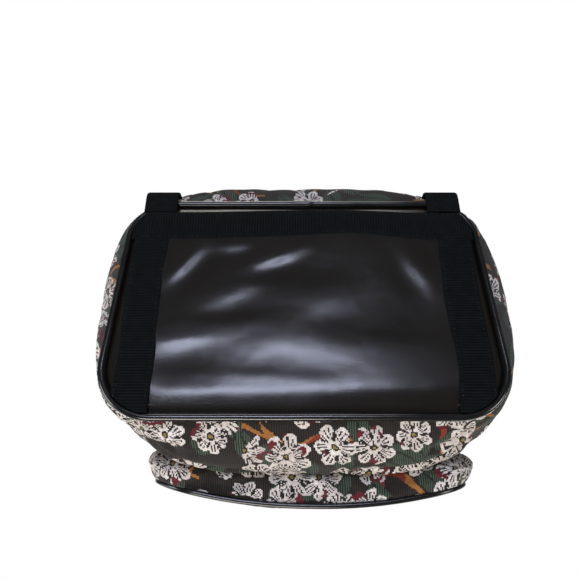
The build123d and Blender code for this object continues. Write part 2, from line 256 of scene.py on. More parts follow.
# %% Tapestry: petal lines, hearts and crimson tips
fan_turns = put(t, "Math", {0: half_turns, 1: 4.0}, operation="MULTIPLY")
fan = put(t, "Math", {0: fan_turns}, operation="COSINE")
fan_dark = put(t, "Math", {0: fan, 1: -0.30}, operation="LESS_THAN")
fan_starts = put(t, "Math", {0: petal_place, 1: 0.40}, operation="GREATER_THAN")
fan_ends = put(t, "Math", {0: petal_place, 1: 0.86}, operation="LESS_THAN")
fan_span = put(t, "Math", {0: fan_starts, 1: fan_ends}, operation="MULTIPLY")
fan_lines = put(t, "Math", {0: fan_dark, 1: fan_span}, operation="MULTIPLY")
petal_gap = put(t, "Math", {0: petal_wave, 1: 0.17}, operation="LESS_THAN")
petal_lines = put(t, "Math", {0: fan_lines, 1: petal_gap}, operation="MAXIMUM")
heart = put(t, "Math", {0: reach, 1: 1.3}, operation="LESS_THAN")
heart_ring = put(t, "Math", {0: reach, 1: 2.5}, operation="LESS_THAN")
blush = put(t, "TexNoise", {"Vector": thread_step, "Scale": 1 / 13, "Detail": 1}, noise_dimensions="2D")
blush_here = put(t, "Math", {0: blush.outputs[0], 1: 0.63}, operation="GREATER_THAN")
blush_tip = put(t, "Math", {0: petal_place, 1: 0.70}, operation="GREATER_THAN")
crimson_mask = put(t, "Math", {0: blush_here, 1: blush_tip}, operation="MULTIPLY")
whiter = put(t, "TexNoise", {"Vector": thread_step, "Scale": 1 / 22, "Detail": 2}, noise_dimensions="2D")
petal_white = put(
    t,
    "Mix",
    {0: whiter.outputs[0], 6: hex_colour("#A99D96"), 7: hex_colour("#ECE6E1")},
    data_type="RGBA",
)
blossom = petal_white
for share, colour in (
    (petal_lines, dark_line),
    (crimson_mask, hex_colour("#5E1C25")),
    (heart_ring, dark_line),
    (heart, hex_colour("#857240")),
):
    blossom = put(t, "Mix", {0: share, 6: blossom.outputs[2], 7: colour}, data_type="RGBA")
print("tapestry nodes with the petals:", len(t.nodes))

# %% [markdown]
# Leaves are pointed ovals turned at random, dark green with a lighter thread in every rib of the cloth
# and a dark vein. Twigs follow the edges between the cells of a wider Voronoi pattern, which fork as
# twigs do, and a slow noise breaks them off so that they never close into a net.

# %% Tapestry: leaves and twigs
cloth_parts = put(t, "SeparateXYZ", {0: cloth_place})
warp_turns = put(t, "Math", {0: cloth_parts.outputs["X"], 1: 2 * math.pi / rib_width}, operation="MULTIPLY")
warp = put(t, "Math", {0: warp_turns}, operation="SINE")
leaf_shift = put(t, "VectorMath", {0: hand_drawn, 1: (311, 127, 0)}, operation="ADD")
leaf_cells = put(
    t,
    "TexVoronoi",
    {"Vector": leaf_shift, "Scale": 1 / leaf_pitch, "Randomness": 0.85},
    voronoi_dimensions="2D",
)
from_leaf = put(t, "VectorMath", {0: leaf_shift, 1: leaf_cells.outputs["Position"]}, operation="SUBTRACT")
leaf_chance = put(t, "SeparateColor", {0: leaf_cells.outputs["Color"]})
leaf_angle = put(t, "Math", {0: leaf_chance.outputs["Red"], 1: 2 * math.pi}, operation="MULTIPLY")
leaf_turned = put(t, "VectorRotate", {"Vector": from_leaf, "Angle": leaf_angle}, rotation_type="Z_AXIS")
leaf_parts = put(t, "SeparateXYZ", {0: leaf_turned})
leaf_along = put(t, "Math", {0: leaf_parts.outputs["X"], 1: leaf_half_length}, operation="DIVIDE")
leaf_taper = put(t, "Math", {0: leaf_along, 1: leaf_along}, operation="MULTIPLY")
leaf_half = put(
    t, "Math", {0: leaf_taper, 1: -leaf_half_width, 2: leaf_half_width}, operation="MULTIPLY_ADD"
)
leaf_side = put(t, "Math", {0: leaf_parts.outputs["Y"]}, operation="ABSOLUTE")
in_leaf = put(t, "Math", {0: leaf_side, 1: leaf_half}, operation="LESS_THAN")
leaf_grows = put(t, "Math", {0: leaf_chance.outputs["Blue"], 1: 0.30}, operation="GREATER_THAN")
leaf_mask = put(t, "Math", {0: in_leaf, 1: leaf_grows}, operation="MULTIPLY")
leaf_rib = put(t, "Math", {0: warp, 1: 0.1}, operation="GREATER_THAN")
leaf_blade = put(t, "Math", {0: leaf_side, 1: 0.8}, operation="GREATER_THAN")
leaf_light = put(t, "Math", {0: leaf_rib, 1: leaf_blade}, operation="MULTIPLY")
leaf = put(t, "Mix", {0: leaf_light, 6: hex_colour("#1C221B"), 7: hex_colour("#465545")}, data_type="RGBA")

twig_bend = put(t, "TexNoise", {"Vector": thread_step, "Scale": 1 / 38, "Detail": 0}, noise_dimensions="2D")
twig_away = put(t, "VectorMath", {0: twig_bend.outputs["Color"], 1: centred}, operation="SUBTRACT")
twig_wander = put(t, "VectorMath", {0: twig_away, "Scale": 42.0}, operation="SCALE")
twig_place = put(t, "VectorMath", {0: thread_step, 1: twig_wander}, operation="ADD")
twig_cells = put(
    t,
    "TexVoronoi",
    {"Vector": twig_place, "Scale": 1 / twig_pitch, "Randomness": 0.9},
    voronoi_dimensions="2D",
    feature="DISTANCE_TO_EDGE",
)
twig_line = put(
    t, "Math", {0: twig_cells.outputs["Distance"], 1: twig_half_width / twig_pitch}, operation="LESS_THAN"
)
twig_breaks = put(
    t, "TexNoise", {"Vector": thread_step, "Scale": 1 / 52, "Detail": 0}, noise_dimensions="2D"
)
twig_here = put(t, "Math", {0: twig_breaks.outputs[0], 1: 0.46}, operation="GREATER_THAN")
twig_mask = put(t, "Math", {0: twig_line, 1: twig_here}, operation="MULTIPLY")
twig_red = put(t, "Math", {0: twig_breaks.outputs[0], 1: 0.66}, operation="GREATER_THAN")
twig = put(t, "Mix", {0: twig_red, 6: hex_colour("#96622C"), 7: hex_colour("#7A2F1E")}, data_type="RGBA")
print("tapestry nodes with leaves and twigs:", len(t.nodes))

# %% [markdown]
# The ground is dark brown with a fine upright rib. The picture's layers are stacked on it, then every
# thread gets its own light and shade, and the same threads make the bump. A real thread is about half
# a millimetre; it is drawn a little coarser so that it shows in the render.

# %% Tapestry: ground, layers and weave
weft_turns = put(t, "Math", {0: cloth_parts.outputs["Y"], 1: weft_turn}, operation="MULTIPLY")
weft = put(t, "Math", {0: weft_turns}, operation="SINE")
ground_rib = put(t, "Math", {0: warp, 1: 0.5, 2: 0.5}, operation="MULTIPLY_ADD")
picture = put(
    t, "Mix", {0: ground_rib, 6: hex_colour("#120F0D"), 7: hex_colour("#2F2823")}, data_type="RGBA"
)
for mask, layer in ((twig_mask, twig), (leaf_mask, leaf), (blossom_mask, blossom)):
    picture = put(t, "Mix", {0: mask, 6: picture.outputs[2], 7: layer.outputs[2]}, data_type="RGBA")
weave = put(t, "Math", {0: warp, 1: weft}, operation="MULTIPLY")
yarn = put(t, "TexNoise", {"Vector": thread_step, "Scale": 1.7, "Detail": 1}, noise_dimensions="2D")
yarn_shade = put(t, "Math", {0: yarn.outputs[0], 1: 0.9, 2: 0.48}, operation="MULTIPLY_ADD")
thread_shade = put(t, "Math", {0: weave, 1: 0.12, 2: yarn_shade}, operation="MULTIPLY_ADD")
shaded = put(t, "VectorMath", {0: picture.outputs[2], "Scale": thread_shade}, operation="SCALE")
float_height = put(t, "Math", {0: blossom_mask, 1: 0.5, 2: weave}, operation="MULTIPLY_ADD")
cloth_bump = put(t, "Bump", {"Height": float_height, "Strength": 0.45, "Distance": 0.0004})
cloth_shader = put(
    t,
    "BsdfPrincipled",
    {
        "Base Color": shaded,
        "Normal": cloth_bump,
        "Roughness": 0.86,
        "IOR": 1.46,
        "Sheen Weight": 0.12,
        "Sheen Roughness": 0.5,
        "Specular IOR Level": 0.25,
    },
)
t.links.new(cloth_shader.outputs[0], tapestry_output.inputs["Surface"])
print("tapestry nodes:", len(t.nodes))

# %% [markdown]
# ## Leather cloth and vinyl
# The base is black leather cloth, pressed with a fine grain and calendered to a soft shine. The eye
# sees broad blurred lights that break into tiny sparks on the grain. The piping is the same vinyl
# drawn smooth over a cord, so its light is one thin bright line.

# %% Leather and piping vinyl
leather, t, output = new_material("calendered_leather_cloth")
object_place = put(t, "TexCoord").outputs["Object"]
leather_mm = put(t, "VectorMath", {0: object_place, 1: to_mm}, operation="MULTIPLY")
grain = put(t, "TexVoronoi", {"Vector": leather_mm, "Scale": 1 / 1.1, "Randomness": 1.0})
patches = put(t, "TexNoise", {"Vector": leather_mm, "Scale": 1 / 45, "Detail": 3})
leather_colour = put(
    t, "Mix", {0: patches.outputs[0], 6: hex_colour("#0E0B08"), 7: hex_colour("#18140F")}, data_type="RGBA"
)
leather_gloss = put(t, "Math", {0: patches.outputs[0], 1: 0.07, 2: 0.19}, operation="MULTIPLY_ADD")
pores = put(t, "TexNoise", {"Vector": leather_mm, "Scale": 1 / 0.7, "Detail": 2})
grain_height = put(
    t, "Math", {0: pores.outputs[0], 1: 1.2, 2: grain.outputs["Distance"]}, operation="MULTIPLY_ADD"
)
grain_bump = put(t, "Bump", {"Height": grain_height, "Strength": 0.3, "Distance": 0.00012})
leather_shader = put(
    t,
    "BsdfPrincipled",
    {"Base Color": leather_colour.outputs[2], "Roughness": leather_gloss, "Normal": grain_bump, "IOR": 1.5},
)
t.links.new(leather_shader.outputs[0], output.inputs["Surface"])

vinyl, t, output = new_material("drawn_vinyl_piping")
object_place = put(t, "TexCoord").outputs["Object"]
vinyl_mm = put(t, "VectorMath", {0: object_place, 1: to_mm}, operation="MULTIPLY")
handling = put(t, "TexNoise", {"Vector": vinyl_mm, "Scale": 1 / 12, "Detail": 3})
vinyl_colour = put(
    t, "Mix", {0: handling.outputs[0], 6: hex_colour("#080808"), 7: hex_colour("#151413")}, data_type="RGBA"
)
vinyl_gloss = put(t, "Math", {0: handling.outputs[0], 1: 0.14, 2: 0.14}, operation="MULTIPLY_ADD")
vinyl_ripple = put(t, "Bump", {"Height": handling.outputs[0], "Strength": 0.15, "Distance": 0.0006})
vinyl_shader = put(
    t,
    "BsdfPrincipled",
    {"Base Color": vinyl_colour.outputs[2], "Roughness": vinyl_gloss, "Normal": vinyl_ripple, "IOR": 1.53},
)
t.links.new(vinyl_shader.outputs[0], output.inputs["Surface"])
print("leather and vinyl made")

# %% [markdown]
# ## Webbing, tape, thread and pad cloth
# Webbing is woven polypropylene: its ribs are modelled, and the material adds the fine threads inside
# each rib. Zip tape and pad cloth are plainer polyester weaves. Each material paints shade into the
# grooves between its threads and keeps its lighter colour for the thread humps. They differ in colour,
# thread size and sheen, so one cell makes them all from a short table.

# %% Woven blacks
woven = {}
# dark groove colour with painted shade, light colour of the thread humps, thread width and height in mm,
# roughness, sheen
woven_table = {
    "polypropylene_webbing": ("#020303", "#161C1D", 2.1, 0.70, 0.85, 0.0),
    "polyester_zip_tape": ("#0B0B0C", "#1D1D1F", 0.60, 0.60, 0.80, 0.10),
    "nylon_pad_cloth": ("#0C0C0D", "#212124", 0.90, 0.90, 0.78, 0.20),
    "polyester_thread": ("#060606", "#141414", 0.30, 0.30, 0.60, 0.10),
}
for name, (dark, light, wide, tall, rough, sheen) in woven_table.items():
    material, t, output = new_material(name)
    cloth_map = put(t, "UVMap", uv_map="cloth")
    cloth_mm = put(t, "VectorMath", {0: cloth_map, 1: to_mm}, operation="MULTIPLY")
    thread_turns = (math.pi / wide, math.pi / tall, 1)
    counts = put(t, "VectorMath", {0: cloth_mm, 1: thread_turns}, operation="MULTIPLY")
    threads = put(t, "VectorMath", {0: counts}, operation="SINE")
    humps = put(t, "VectorMath", {0: threads}, operation="ABSOLUTE")
    parts = put(t, "SeparateXYZ", {0: humps})
    thin = put(t, "Math", {0: parts.outputs["Y"], 1: 0.3, 2: 0.7}, operation="MULTIPLY_ADD")
    lift = put(t, "Math", {0: parts.outputs["X"], 1: thin}, operation="MULTIPLY")
    wear = put(t, "TexNoise", {"Vector": cloth_mm, "Scale": 1 / 8, "Detail": 3})
    # painted shade: darker in the grooves between the threads and lighter on their humps; the wear noise
    # varies the tone at random
    painted_groove_shade_and_wear = put(t, "Math", {0: lift, 1: wear.outputs[0]}, operation="MULTIPLY")
    colour = put(t, "Mix", {0: painted_groove_shade_and_wear, 6: hex_colour(dark), 7: hex_colour(light)}, data_type="RGBA")
    bump = put(t, "Bump", {"Height": lift, "Strength": 0.35, "Distance": 0.0002})
    shader = put(
        t,
        "BsdfPrincipled",
        {
            "Base Color": colour.outputs[2],
            "Roughness": rough,
            "Normal": bump,
            "IOR": 1.49,
            "Sheen Weight": sheen,
            "Specular IOR Level": 0.08,
        },
    )
    t.links.new(shader.outputs[0], output.inputs["Surface"])
    woven[name] = material
print("woven blacks:", sorted(woven))

# %% [markdown]
# ## Metal, moulded plastic and board
# The zip sliders and pulls are die-cast and plated an aged brass, the teeth and the strap adjusters
# are moulded plastic with a fine spark-eroded texture, and the stiffener in the base is a brown board.

# %% Hard materials
hard = {}
# dark and light colour, metal, roughness from and to, speckles in a mm, relief, index of refraction
hard_table = {
    "aged_brass": ("#5E4A28", "#9C7E45", 1.0, 0.26, 0.42, 1 / 6, 0.05, 1.5),
    "nylon_zip_teeth": ("#0B0B0B", "#191919", 0.0, 0.30, 0.45, 1 / 3, 0.08, 1.53),
    "acetal_moulding": ("#0C0C0C", "#1A1A1B", 0.0, 0.36, 0.52, 1 / 0.35, 0.12, 1.48),
    "fibre_board": ("#2B2622", "#453D35", 0.0, 0.80, 0.92, 1 / 2, 0.30, 1.5),
}
for name, (dark, light, metal, glossy, dull, scale, relief, ior) in hard_table.items():
    material, t, output = new_material(name)
    object_place = put(t, "TexCoord").outputs["Object"]
    place_mm = put(t, "VectorMath", {0: object_place, 1: to_mm}, operation="MULTIPLY")
    speckle = put(t, "TexNoise", {"Vector": place_mm, "Scale": scale, "Detail": 4})
    colour = put(
        t, "Mix", {0: speckle.outputs[0], 6: hex_colour(dark), 7: hex_colour(light)}, data_type="RGBA"
    )
    rough = put(t, "Math", {0: speckle.outputs[0], 1: dull - glossy, 2: glossy}, operation="MULTIPLY_ADD")
    bump = put(t, "Bump", {"Height": speckle.outputs[0], "Strength": relief, "Distance": 0.0002})
    shader = put(
        t,
        "BsdfPrincipled",
        {
            "Base Color": colour.outputs[2],
            "Roughness": rough,
            "Normal": bump,
            "Metallic": metal,
            "IOR": ior,
        },
    )
    t.links.new(shader.outputs[0], output.inputs["Surface"])
    hard[name] = material
print("hard materials:", sorted(hard))

# %% [markdown]
# ## Outlines
# The base is a trapezoid with rounded corners, the pocket an oblong with rounded corners, and the
# straps follow routes that turn with small radii. One function draws all of them as evenly spaced
# points.


# %% Rounded lines
def even(points, step):
    """The same line with its points a step apart."""
    points = np.asarray(points, float)
    along = np.concatenate([[0], np.cumsum(np.linalg.norm(np.diff(points, axis=0), axis=1))])
    places = np.linspace(0, along[-1], max(2, int(round(along[-1] / step)) + 1))
    return np.column_stack([np.interp(places, along, points[:, k]) for k in range(points.shape[1])])


def rounded(corners, radii, step, closed=True):
    """A line through these corners, each turned with its own radius."""
    corners = [np.array(c, float) for c in corners]
    points = []
    for i, (corner, radius) in enumerate(zip(corners, radii)):
        if not radius:
            points.append(corner)
            continue
        back = corners[i - 1] - corner
        ahead = corners[(i + 1) % len(corners)] - corner
        back /= np.linalg.norm(back)
        ahead /= np.linalg.norm(ahead)
        half = math.acos(np.clip(back @ ahead, -1, 1)) / 2
        middle = corner + (back + ahead) / np.linalg.norm(back + ahead) * radius / math.sin(half)
        first = corner + back * radius / math.tan(half) - middle
        last = corner + ahead * radius / math.tan(half) - middle
        start = math.atan2(first[1], first[0])
        sweep = (math.atan2(last[1], last[0]) - start + math.pi) % (2 * math.pi) - math.pi
        for share in np.linspace(0, 1, 25):
            angle = start + sweep * share
            points.append(middle + radius * np.array([math.cos(angle), math.sin(angle)]))
    if closed:
        points.append(points[0])
    return even(points, step)


base_edge = rounded([(-141, -89), (141, -89), (133, 89), (-133, 89)], (38, 38, 35, 35), 1.0)
pocket_edge = rounded([(-110, 50), (110, 50), (110, 218), (-110, 218)], (32, 32, 18, 18), 1.5)
print("base edge", len(base_edge), "points, pocket edge", len(pocket_edge))

# %% [markdown]
# Three more tools for outlines: how far the base's edge is in any direction, a smooth curve through a
# few stations, and a grid that fills a rounded outline.

# %% Reach, stations and filled outlines
edge_turn = np.arctan2(base_edge[:-1, 0], -base_edge[:-1, 1])
edge_order = np.argsort(edge_turn)


def reach_of_edge(turns):
    """How far the base's edge is from its middle in these directions, from the front by +X."""
    reaches = np.linalg.norm(base_edge[:-1], axis=1)
    return np.interp(turns, edge_turn[edge_order], reaches[edge_order], period=2 * math.pi)


def smooth_between(places, values, at):
    """A smooth curve through the stations."""
    slopes = np.gradient(values, places)
    i = int(np.clip(np.searchsorted(places, at) - 1, 0, len(places) - 2))
    step = places[i + 1] - places[i]
    s = (at - places[i]) / step
    return (
        values[i] * (1 + 2 * s) * (1 - s) ** 2
        + slopes[i] * step * s * (1 - s) ** 2
        + values[i + 1] * s * s * (3 - 2 * s)
        + slopes[i + 1] * step * s * s * (s - 1)
    )


def filled(outline, columns, rows):
    """A grid that fills a rounded outline: straight in the middle, bent to the outline at its edge."""
    low, high = outline.min(axis=0), outline.max(axis=0)
    middle, half = (low + high) / 2, (high - low) / 2
    u, v = np.meshgrid(np.linspace(-1, 1, columns), np.linspace(-1, 1, rows))
    ring = np.maximum(abs(u), abs(v))
    spots = (outline[:-1] - middle) / half
    angles = np.arctan2(spots[:, 1], spots[:, 0])
    order = np.argsort(angles)
    direction = np.arctan2(v, u)
    radius = np.interp(
        direction, angles[order], np.linalg.norm(spots, axis=1)[order], period=2 * math.pi
    )
    square = 1 / np.maximum(abs(np.cos(direction)), abs(np.sin(direction)))
    pull = 1 + (radius / square - 1) * ring**3
    points = np.dstack([middle[0] + u * pull * half[0], middle[1] + v * pull * half[1]])
    rim = np.minimum((1 - abs(u)) * half[0], (1 - abs(v)) * half[1])
    return points, rim


print("the base reaches", reach_of_edge(np.array([0, math.pi / 2])).round(1), "mm to the front and side")

# %% [markdown]
# ## Leather base
# The leather is drawn over a board and is not flat: it rises into the piping all round, and between
# the webbing strips it is pillowed by what the bag carries. The broad blurred lights lie where the
# leather tips towards the front, so the low folds are modelled by those tips: each has its place, its
# length and width, the angle it lies at and how steep it is.


# %% Leather base
def smooth_step(share):
    """Eases from 0 to 1 as the share does."""
    share = np.clip(share, 0, 1)
    return share * share * (3 - 2 * share)


leather_thickness, base_columns, base_rows = 1.6, 200, 130
base_points, base_rim = filled(base_edge, base_columns, base_rows)
base_x, base_y = base_points[..., 0], base_points[..., 1]
leather_level, swell_limit, hollow_limit = 0.8, 0.7, 1.6
turn_start, turn_slope, turn_knee, edge_lift = 17.5, 0.26, 2.2, 1.4
piping_level = 4.65
# place x and y, half length, half width, angle, slope
tips = [
    (87, -37, 22, 17, -0.1, 0.17),
    (87, 27, 20, 12, -0.95, 0.28),
    (19, 32, 20, 11, -0.40, 0.26),
    (46, 3, 22, 11, -0.42, 0.09),
    (8, -42, 46, 15, 0.05, 0.08),
    (-82, 21, 20, 11, 1.15, 0.15),
    (-20, -8, 18, 18, -0.6, 0.07),
    (52, 43, 16, 9, -0.1, 0.16),
    (56, -18, 40, 9, -0.15, -0.10),
    (-20, 14, 22, 16, -0.3, -0.06),
    (40, -64, 60, 6, 0.05, 0.05),
    (-75, -32, 42, 30, 0.0, -0.08),
]
relief = np.zeros_like(base_x)
for tip_x, tip_y, long, wide, angle, slope in tips:
    along = (base_x - tip_x) * math.cos(angle) + (base_y - tip_y) * math.sin(angle)
    across = (base_y - tip_y) * math.cos(angle) - (base_x - tip_x) * math.sin(angle)
    relief += slope * across * np.exp(-((along / long) ** 2) - (across / wide) ** 2)
ripples = ((0.13, 17, 3), (0.05, 7, 8))
for ripple, size, seed in ripples:
    relief += ripple * np.array(
        [noise.noise(Vector((x / size, y / size, seed))) for x, y in zip(base_x.ravel(), base_y.ravel())]
    ).reshape(base_x.shape)
inside = smooth_step((base_rim - 4) / 14)
rise = turn_slope * turn_knee * np.log1p(np.exp((turn_start - base_rim) / turn_knee))
rise += edge_lift * np.exp(-((base_rim / 4) ** 2))
limit = np.where(relief > 0, swell_limit, hollow_limit)
base_z = leather_level + rise - limit * np.tanh(relief / limit) * inside
base_shape = np.dstack([base_x, base_y, base_z])[::-1]
leather_base = grid_piece("leather_base", base_shape)
refine(leather_base, "SOLIDIFY", thickness=leather_thickness * mm, offset=-1.0)
finish_piece(leather_base, leather, "base_leather", "base_panel")

# %% [markdown]
# ## Round piping
# Piping is a cord wrapped in vinyl. A grid is rolled into a tube along the edge and its ends are
# merged. Where the piping's two ends meet, at the middle of the back, the vinyl is lapped, so the
# cord is a little thicker there.


# %% Tubes
def tube(name, path, radius, up, closed):
    """A round cord along a path. The radius is one number or one for each point."""
    path = np.asarray(path, float)
    ahead = np.gradient(path, axis=0)
    if closed:
        ahead[0] = ahead[-1] = path[1] - path[-2]
    ahead /= np.linalg.norm(ahead, axis=1)[:, None]
    rise = np.broadcast_to(np.asarray(up, float), path.shape)
    rise = rise - ahead * (rise * ahead).sum(axis=1)[:, None]
    rise /= np.linalg.norm(rise, axis=1)[:, None]
    side = np.cross(ahead, rise)
    radius = np.broadcast_to(radius, len(path))[:, None]
    around = np.linspace(0, 2 * math.pi, tube_sides + 1)
    rows = [path + radius * (math.cos(a) * side + math.sin(a) * rise) for a in around]
    piece = grid_piece(name, np.array(rows))
    edit(piece, (bpy.ops.mesh.remove_doubles, {"threshold": merge_distance}))
    return piece


tube_sides = 16
piping_radius, piping_sway, lap_thickness = 2.6, 0.5, 0.45
piping_path = np.column_stack([base_edge, np.full(len(base_edge), piping_level)])
back_middle = np.argmin(np.linalg.norm(base_edge - np.array([0, 89]), axis=1))
from_lap = np.arange(len(base_edge)) - back_middle
sway = np.array([noise.noise(Vector((p[0] / 40, p[1] / 40, 7.0))) for p in base_edge])
piping_path[:, 2] += piping_sway * sway
lap = lap_thickness * smooth_step((9 - abs(from_lap)) / 3)
round_piping = tube("round_piping", piping_path, piping_radius + lap, (0, 0, 1), True)
finish_piece(round_piping, vinyl, "vinyl_piping", "base_piping")

# %% [markdown]
# ## Ribbed webbing
# The webbing has a rib across its width about every two millimetres, thin selvedges and slightly
# rounded edges. One section is carried along the strap's route, and its thickness goes up and down
# with the ribs. Its ends are closed at the end.


# %% Webbing along a route
rib_pitch, webbing_width, webbing_thickness = 2.1, 26.0, 1.6
webbing_section = [
    (-1.0, 0.0), (-0.985, 0.55), (-0.94, 0.8), (-0.9, 1.0), (-0.45, 1.0), (0.0, 1.0), (0.45, 1.0),
    (0.9, 1.0), (0.94, 0.8), (0.985, 0.55), (1.0, 0.0), (0.985, -0.55), (0.94, -0.8), (0.9, -1.0),
    (0.0, -1.0), (-0.9, -1.0), (-0.94, -0.8), (-0.985, -0.55), (-1.0, 0.0),
]


def webbing_strip(name, path, across, thickness=webbing_thickness, bends=((0, 0, 1), (1, 0, 1))):
    """Ribbed webbing along a route, its width lying along one direction. Each bend is a share of the
    length, how far the webbing is off its route there, and the share of its width that shows."""
    path = even(path, rib_pitch / 5)
    ahead = np.gradient(path, axis=0)
    ahead /= np.linalg.norm(ahead, axis=1)[:, None]
    wide = np.broadcast_to(np.asarray(across, float), path.shape)
    wide = wide - ahead * (wide * ahead).sum(axis=1)[:, None]
    wide /= np.linalg.norm(wide, axis=1)[:, None]
    out = np.cross(ahead, wide)
    along = np.arange(len(path)) * rib_pitch / 5
    rib = abs(np.sin(math.pi * along / rib_pitch))
    half = (thickness / 2) * (0.6 + 0.4 * rib)
    bends = np.array(bends, float)
    shares = along / along[-1]
    drift = np.array([smooth_between(bends[:, 0], bends[:, 1], share) for share in shares])
    shown = np.array([smooth_between(bends[:, 0], bends[:, 2], share) for share in shares])
    rows = []
    flat = []
    for w, h in webbing_section:
        offset = w * shown * webbing_width / 2 + drift
        depth = np.where(abs(w) < 0.92, half, thickness / 2 * 0.8) * h
        rows.append(path + offset[:, None] * wide + depth[:, None] * out)
        flat.append(np.column_stack([along, np.full(len(path), w * webbing_width / 2)]))
    piece = grid_piece(name, np.array(rows), np.array(flat))
    edit(
        piece,
        (bpy.ops.mesh.remove_doubles, {"threshold": merge_distance}),
        (bpy.ops.mesh.fill_holes, {"sides": 0}),
        (bpy.ops.mesh.normals_make_consistent, {"inside": False}),
    )
    return piece


def trim_to_edge(piece, margin):
    """Cuts a piece under the base back to the base's edge, less a margin."""
    spots = places_of(piece)
    reaches = np.linalg.norm(spots[:, :2], axis=1)
    allowed = reach_of_edge(np.arctan2(spots[:, 0], -spots[:, 1])) - margin
    spots[:, :2] *= np.minimum(1, allowed / np.maximum(reaches, 1e-9))[:, None]
    place(piece, spots)


print("webbing tools ready")

# %% [markdown]
# One strip crosses the base near the back, and one runs from front to back on each side. None lies
# quite straight: the bends are a share of the length, a drift in millimetres and the width that shows.

# %% Strips under the base
webbing = woven["polypropylene_webbing"]
lane_x, lane_level, lane_front, lane_back = 116, 0.8, -86.5, 53.2
cross_y, cross_half = 65.5, 131
cross_bends = (
    (0, -1, 1), (0.13, -1.2, 1), (0.36, 3.4, 0.86), (0.54, 2.0, 0.95), (0.89, -0.5, 1), (1, 0, 1)
)
side_bends = ((0, 0.8, 1), (0.3, -0.6, 0.98), (0.62, 0.9, 1), (1, -0.4, 1))
cross_route = [(-cross_half, cross_y, lane_level), (cross_half, cross_y, lane_level)]
cross_strip = webbing_strip("cross_webbing", cross_route, (0, 1, 0), bends=cross_bends)
trim_to_edge(cross_strip, 2.4)
finish_piece(cross_strip, webbing, "webbing", "base_cross_webbing")
for side_name, side in (("left", -1), ("right", 1)):
    lane = [(lane_front, 2.6), (-78, 1.2), (-66, lane_level), (lane_back, lane_level)]
    route = [(side * lane_x, y, z) for y, z in lane]
    strip = webbing_strip(f"front_strip_{side_name}", route, (1, 0, 0), bends=side_bends)
    trim_to_edge(strip, 2.0)
    finish_piece(strip, webbing, "webbing", f"base_strip_{side_name}")

# %% [markdown]
# ## Stitches
# The webbing is sewn down along both edges. A stitch is a short thread that dives into the cloth at
# both ends, so a flattened sphere does for it, copied along the sewing lines.


# %% Stitches
def repeated(name, template, frames, material, slot, *nodes):
    """Copies a small template mesh to many places: each frame is a place and three directions."""
    spots = places_of(template)
    faces = [list(p.vertices) for p in template.data.polygons]
    points, polygons = [], []
    for origin, axes in frames:
        offset = len(points) * len(spots)
        points.append(np.asarray(origin) + spots @ np.asarray(axes))
        polygons += [[v + offset for v in face] for face in faces]
    mesh = bpy.data.meshes.new(name)
    mesh.from_pydata(np.concatenate(points) * mm, [], polygons)
    mesh.uv_layers.new(name="cloth")
    piece = bpy.data.objects.new(name, mesh)
    bpy.context.scene.collection.objects.link(piece)
    bpy.data.objects.remove(template)
    return finish_piece(piece, material, slot, *nodes)


def stitches(name, lines, lift):
    """Rows of stitches along lines of points. Lift is the direction out of the cloth."""
    bpy.ops.object.select_all(action="DESELECT")
    bpy.ops.mesh.primitive_uv_sphere_add(segments=8, ring_count=5, radius=0.5)
    thread = bpy.context.object
    place(thread, places_of(thread) * mm * np.array(stitch_size))
    frames = []
    for line in lines:
        points = even(line, stitch_step)
        ahead = np.gradient(points, axis=0)
        ahead /= np.linalg.norm(ahead, axis=1)[:, None]
        side = np.cross(lift, ahead)
        side /= np.linalg.norm(side, axis=1)[:, None]
        frames += [(p, np.array([a, s, np.cross(a, s)])) for p, a, s in zip(points, ahead, side)]
    return repeated(name, thread, frames, woven["polyester_thread"], "webbing")


def at_shares(bends, column, shares):
    """One column of the bends, read at shares of the length."""
    return np.array([smooth_between(*np.array(bends).T[[0, column]], share) for share in shares])


stitch_size, stitch_step, stitch_margin, stitch_level = (2.9, 0.9, 0.7), 4.2, 2.4, 0.38
half_width = webbing_width / 2
sewing_lines = []
for edge in (-1, 1):
    shares = np.linspace(0.03, 0.97, 60)
    seam = half_width * at_shares(cross_bends, 2, shares) - stitch_margin
    seam_y = cross_y + at_shares(cross_bends, 1, shares) + edge * seam
    seam_across = -cross_half + 2 * cross_half * shares
    sewing_lines.append(np.column_stack([seam_across, seam_y, np.full(60, stitch_level)]))
    for side in (-1, 1):
        shares = np.linspace(0.08, 0.97, 40)
        strip_x = side * lane_x + at_shares(side_bends, 1, shares) + edge * (half_width - stitch_margin)
        strip_y = lane_front + (lane_back - lane_front) * shares
        sewing_lines.append(np.column_stack([strip_x, strip_y, np.full(40, stitch_level)]))
stitches("base_stitches", sewing_lines, (0, 0, -1))

# %% [markdown]
# ## Straps at the back
# From the base each strap goes over the piping, up behind the adjuster, over its bar, and its tail
# hangs free. A short loop holds the adjuster under the pad. The routes are the ones of the CAD model.

# %% Strap webbing and loops
strap_foot_x, strap_spread = 112.0, 4.0
strap_route = rounded(
    [(78.5, 0.8), (101, 0.8), (118.9, 104), (118.9, 120.9), (125.1, 120.9), (125.1, 104), (130.1, 58.9)],
    (0, 10, 10, 1.6, 1.6, 10, 0),
    0.3,
    closed=False,
)
loop_route = rounded(
    [(118.9, 150), (118.9, 125.2), (125.1, 125.2), (125.1, 150)], (0, 1.6, 1.6, 0), 0.3, closed=False
)
for side_name, side in (("left", -1), ("right", 1)):
    for name, route, node in (
        ("strap_tape", strap_route, "strap_webbing"),
        ("adjuster_tape", loop_route, "adjuster_loop"),
    ):
        strap_x = strap_foot_x + strap_spread * smooth_step((route[:, 1] - 4) / 60)
        path = np.column_stack([side * strap_x, route])
        strap = webbing_strip(f"{name}_{side_name}", path, (1, 0, 0))
        finish_piece(strap, webbing, "webbing", f"{node}_{side_name}")

